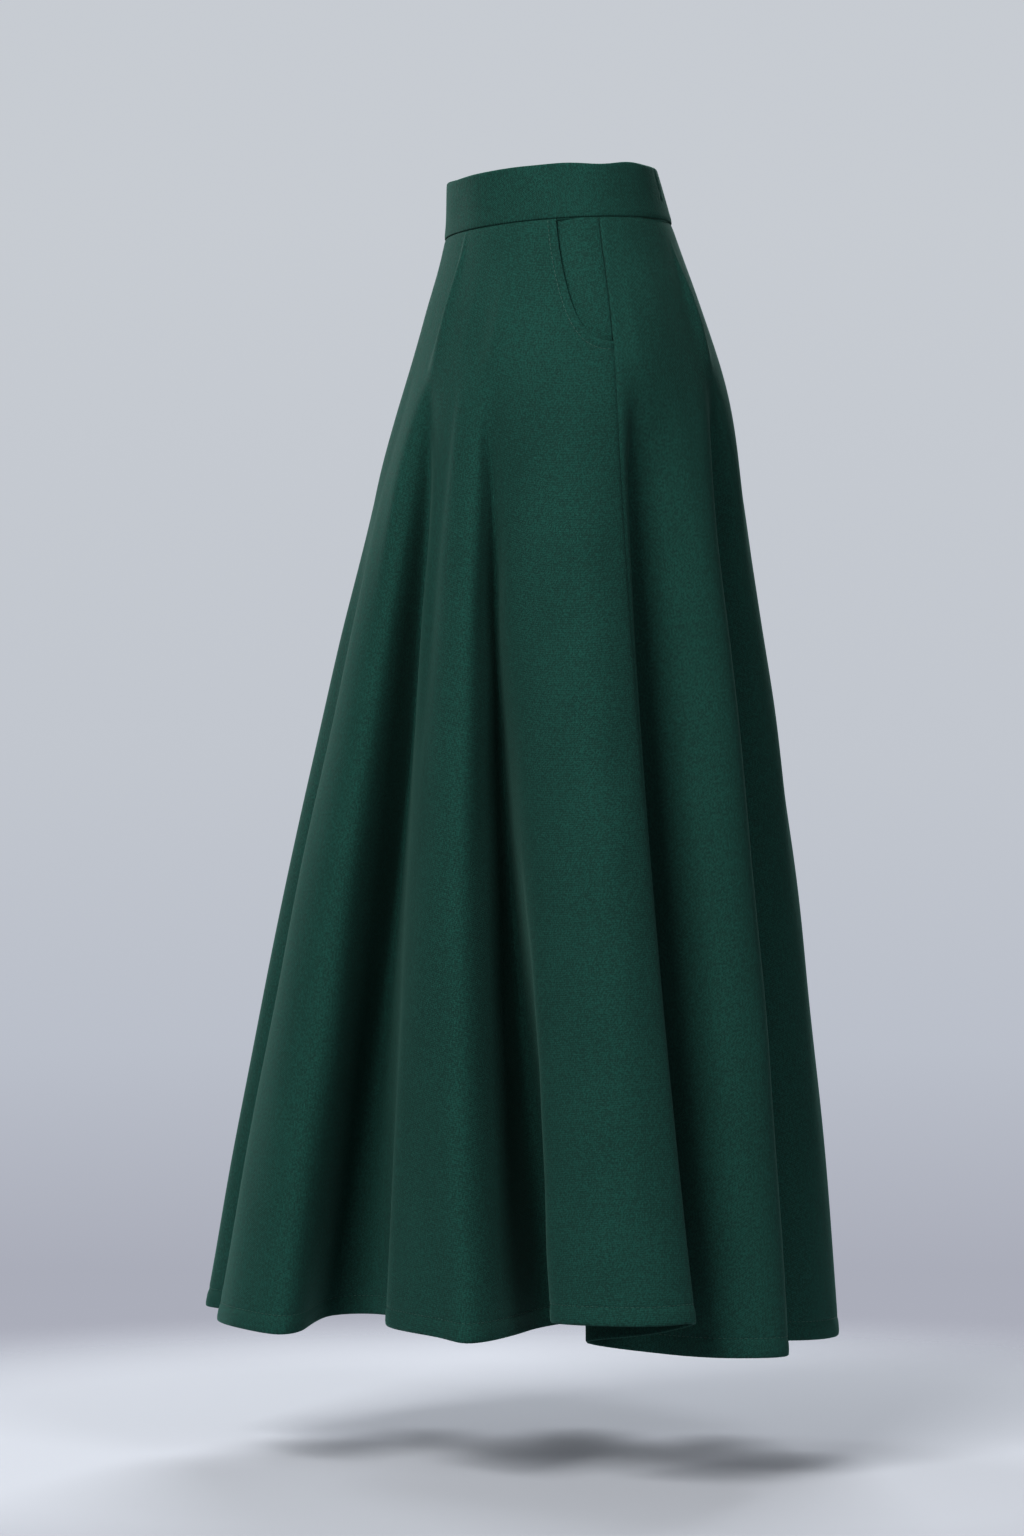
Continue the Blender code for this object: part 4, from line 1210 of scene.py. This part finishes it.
def add_camera():
    """The photograph's view: a long lens, almost level."""
    back = direction(CAMERA_AZIMUTH, 0)
    right = Vector((-back.y, back.x, 0))
    data = bpy.data.cameras.new("camera")
    data.sensor_fit = "VERTICAL"
    data.sensor_height = SENSOR
    data.lens = FOCAL_PIXELS * SENSOR / PICTURE_PIXELS
    data.clip_end = CLIP_END
    camera = add_object("camera", data)
    camera.location = back * CAMERA_DISTANCE - right * CAMERA_SHIFT_LEFT + Vector((0, 0, CAMERA_HEIGHT))
    ahead = -back * math.cos(CAMERA_PITCH) + Vector((0, 0, math.sin(CAMERA_PITCH)))
    camera.rotation_euler = ahead.to_track_quat("-Z", "Y").to_euler()
    bpy.context.scene.camera = camera


def add_lamps():
    for lamp in LAMPS:
        data = bpy.data.lights.new(lamp.name, "AREA")
        data.shape = "SQUARE"
        data.size = lamp.size
        data.energy = lamp.watts
        data.color = lamp.colour
        thing = add_object(lamp.name, data)
        towards = direction(lamp.azimuth, lamp.elevation)
        thing.location = LAMP_TARGET + towards * LAMP_DISTANCE
        thing.rotation_euler = towards.to_track_quat("Z", "Y").to_euler()


def add_world():
    """A pale backdrop that the camera sees, and much less light than that on the object."""
    world = bpy.data.worlds.new("studio")
    bpy.context.scene.world = world
    world.use_nodes = True
    tree = world.node_tree
    tree.nodes.clear()
    towards = add_node(tree, "TexCoord").outputs["Generated"]
    height = add_node(tree, "SeparateXYZ", {0: towards}).outputs["Z"]
    low = BACKDROP[0][0]
    high = BACKDROP[-1][0]
    ramp = add_node(tree, "ValToRGB", {0: spread(tree, height, low, high)})
    points = ramp.color_ramp.elements
    while len(points) < len(BACKDROP):
        points.new(0.5)
    for point, (level, colour) in zip(points, BACKDROP):
        point.position = (level - low) / (high - low)
        point.color = (*(part ** (1 / CONTRAST) for part in colour), 1.0)
    seen = add_node(tree, "Background", {"Color": ramp.outputs[0], "Strength": 1.0})
    lit = add_node(tree, "Background", {"Color": (*AMBIENT, 1.0), "Strength": AMBIENT_POWER})
    camera_ray = add_node(tree, "LightPath").outputs["Is Camera Ray"]
    mixed = add_node(tree, "MixShader", {0: camera_ray, 1: lit.outputs[0], 2: seen.outputs[0]})
    add_node(tree, "OutputWorld", {"Surface": mixed.outputs[0]})


def floor_material():
    """Matt pale floor that clears away into the backdrop towards its edge."""
    made = bpy.data.materials.new("studio_floor")
    made.use_nodes = True
    tree = made.node_tree
    tree.nodes.clear()
    place_on = add_node(tree, "TexCoord").outputs["Object"]
    reach = add_node(tree, "VectorMath", {0: place_on}, operation="LENGTH").outputs["Value"]
    inputs = {"Value": reach, "From Min": FLOOR_CLEAR, "From Max": FLOOR_END}
    faded = add_node(tree, "MapRange", inputs, interpolation_type="SMOOTHSTEP").outputs[0]
    matt = add_node(tree, "BsdfDiffuse", {"Color": (*FLOOR_COLOUR, 1.0)})
    glow = add_node(tree, "Emission", {"Color": (*FLOOR_GLOW, 1.0), "Strength": 1.0})
    lit = add_node(tree, "AddShader", {0: matt.outputs[0], 1: glow.outputs[0]})
    clear = add_node(tree, "BsdfTransparent")
    mixed = add_node(tree, "MixShader", {0: faded, 1: lit.outputs[0], 2: clear.outputs[0]})
    add_node(tree, "OutputMaterial", {"Surface": mixed.outputs[0]})
    return made


def add_floor():
    turns = [2 * math.pi * k / FLOOR_SIDES for k in range(FLOOR_SIDES)]
    rim = [(FLOOR_END * math.cos(turn), FLOOR_END * math.sin(turn), 0.0) for turn in turns]
    mesh = bpy.data.meshes.new("floor")
    mesh.from_pydata(rim, [], [tuple(range(FLOOR_SIDES))])
    mesh.materials.append(floor_material())
    floor = add_object("floor", mesh)
    floor.location = (*FLOOR_CENTRE, FLOOR_Z)
    floor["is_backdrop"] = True


dress_frame()
add_camera()
add_lamps()
add_world()
add_floor()
bpy.context.scene.view_settings.view_transform = "Standard"
bpy.context.scene.view_settings.gamma = 1 / CONTRAST
for one in (cad_box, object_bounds()):
    json.dumps([[float(x) for x in corner] for corner in one]) + "\n"
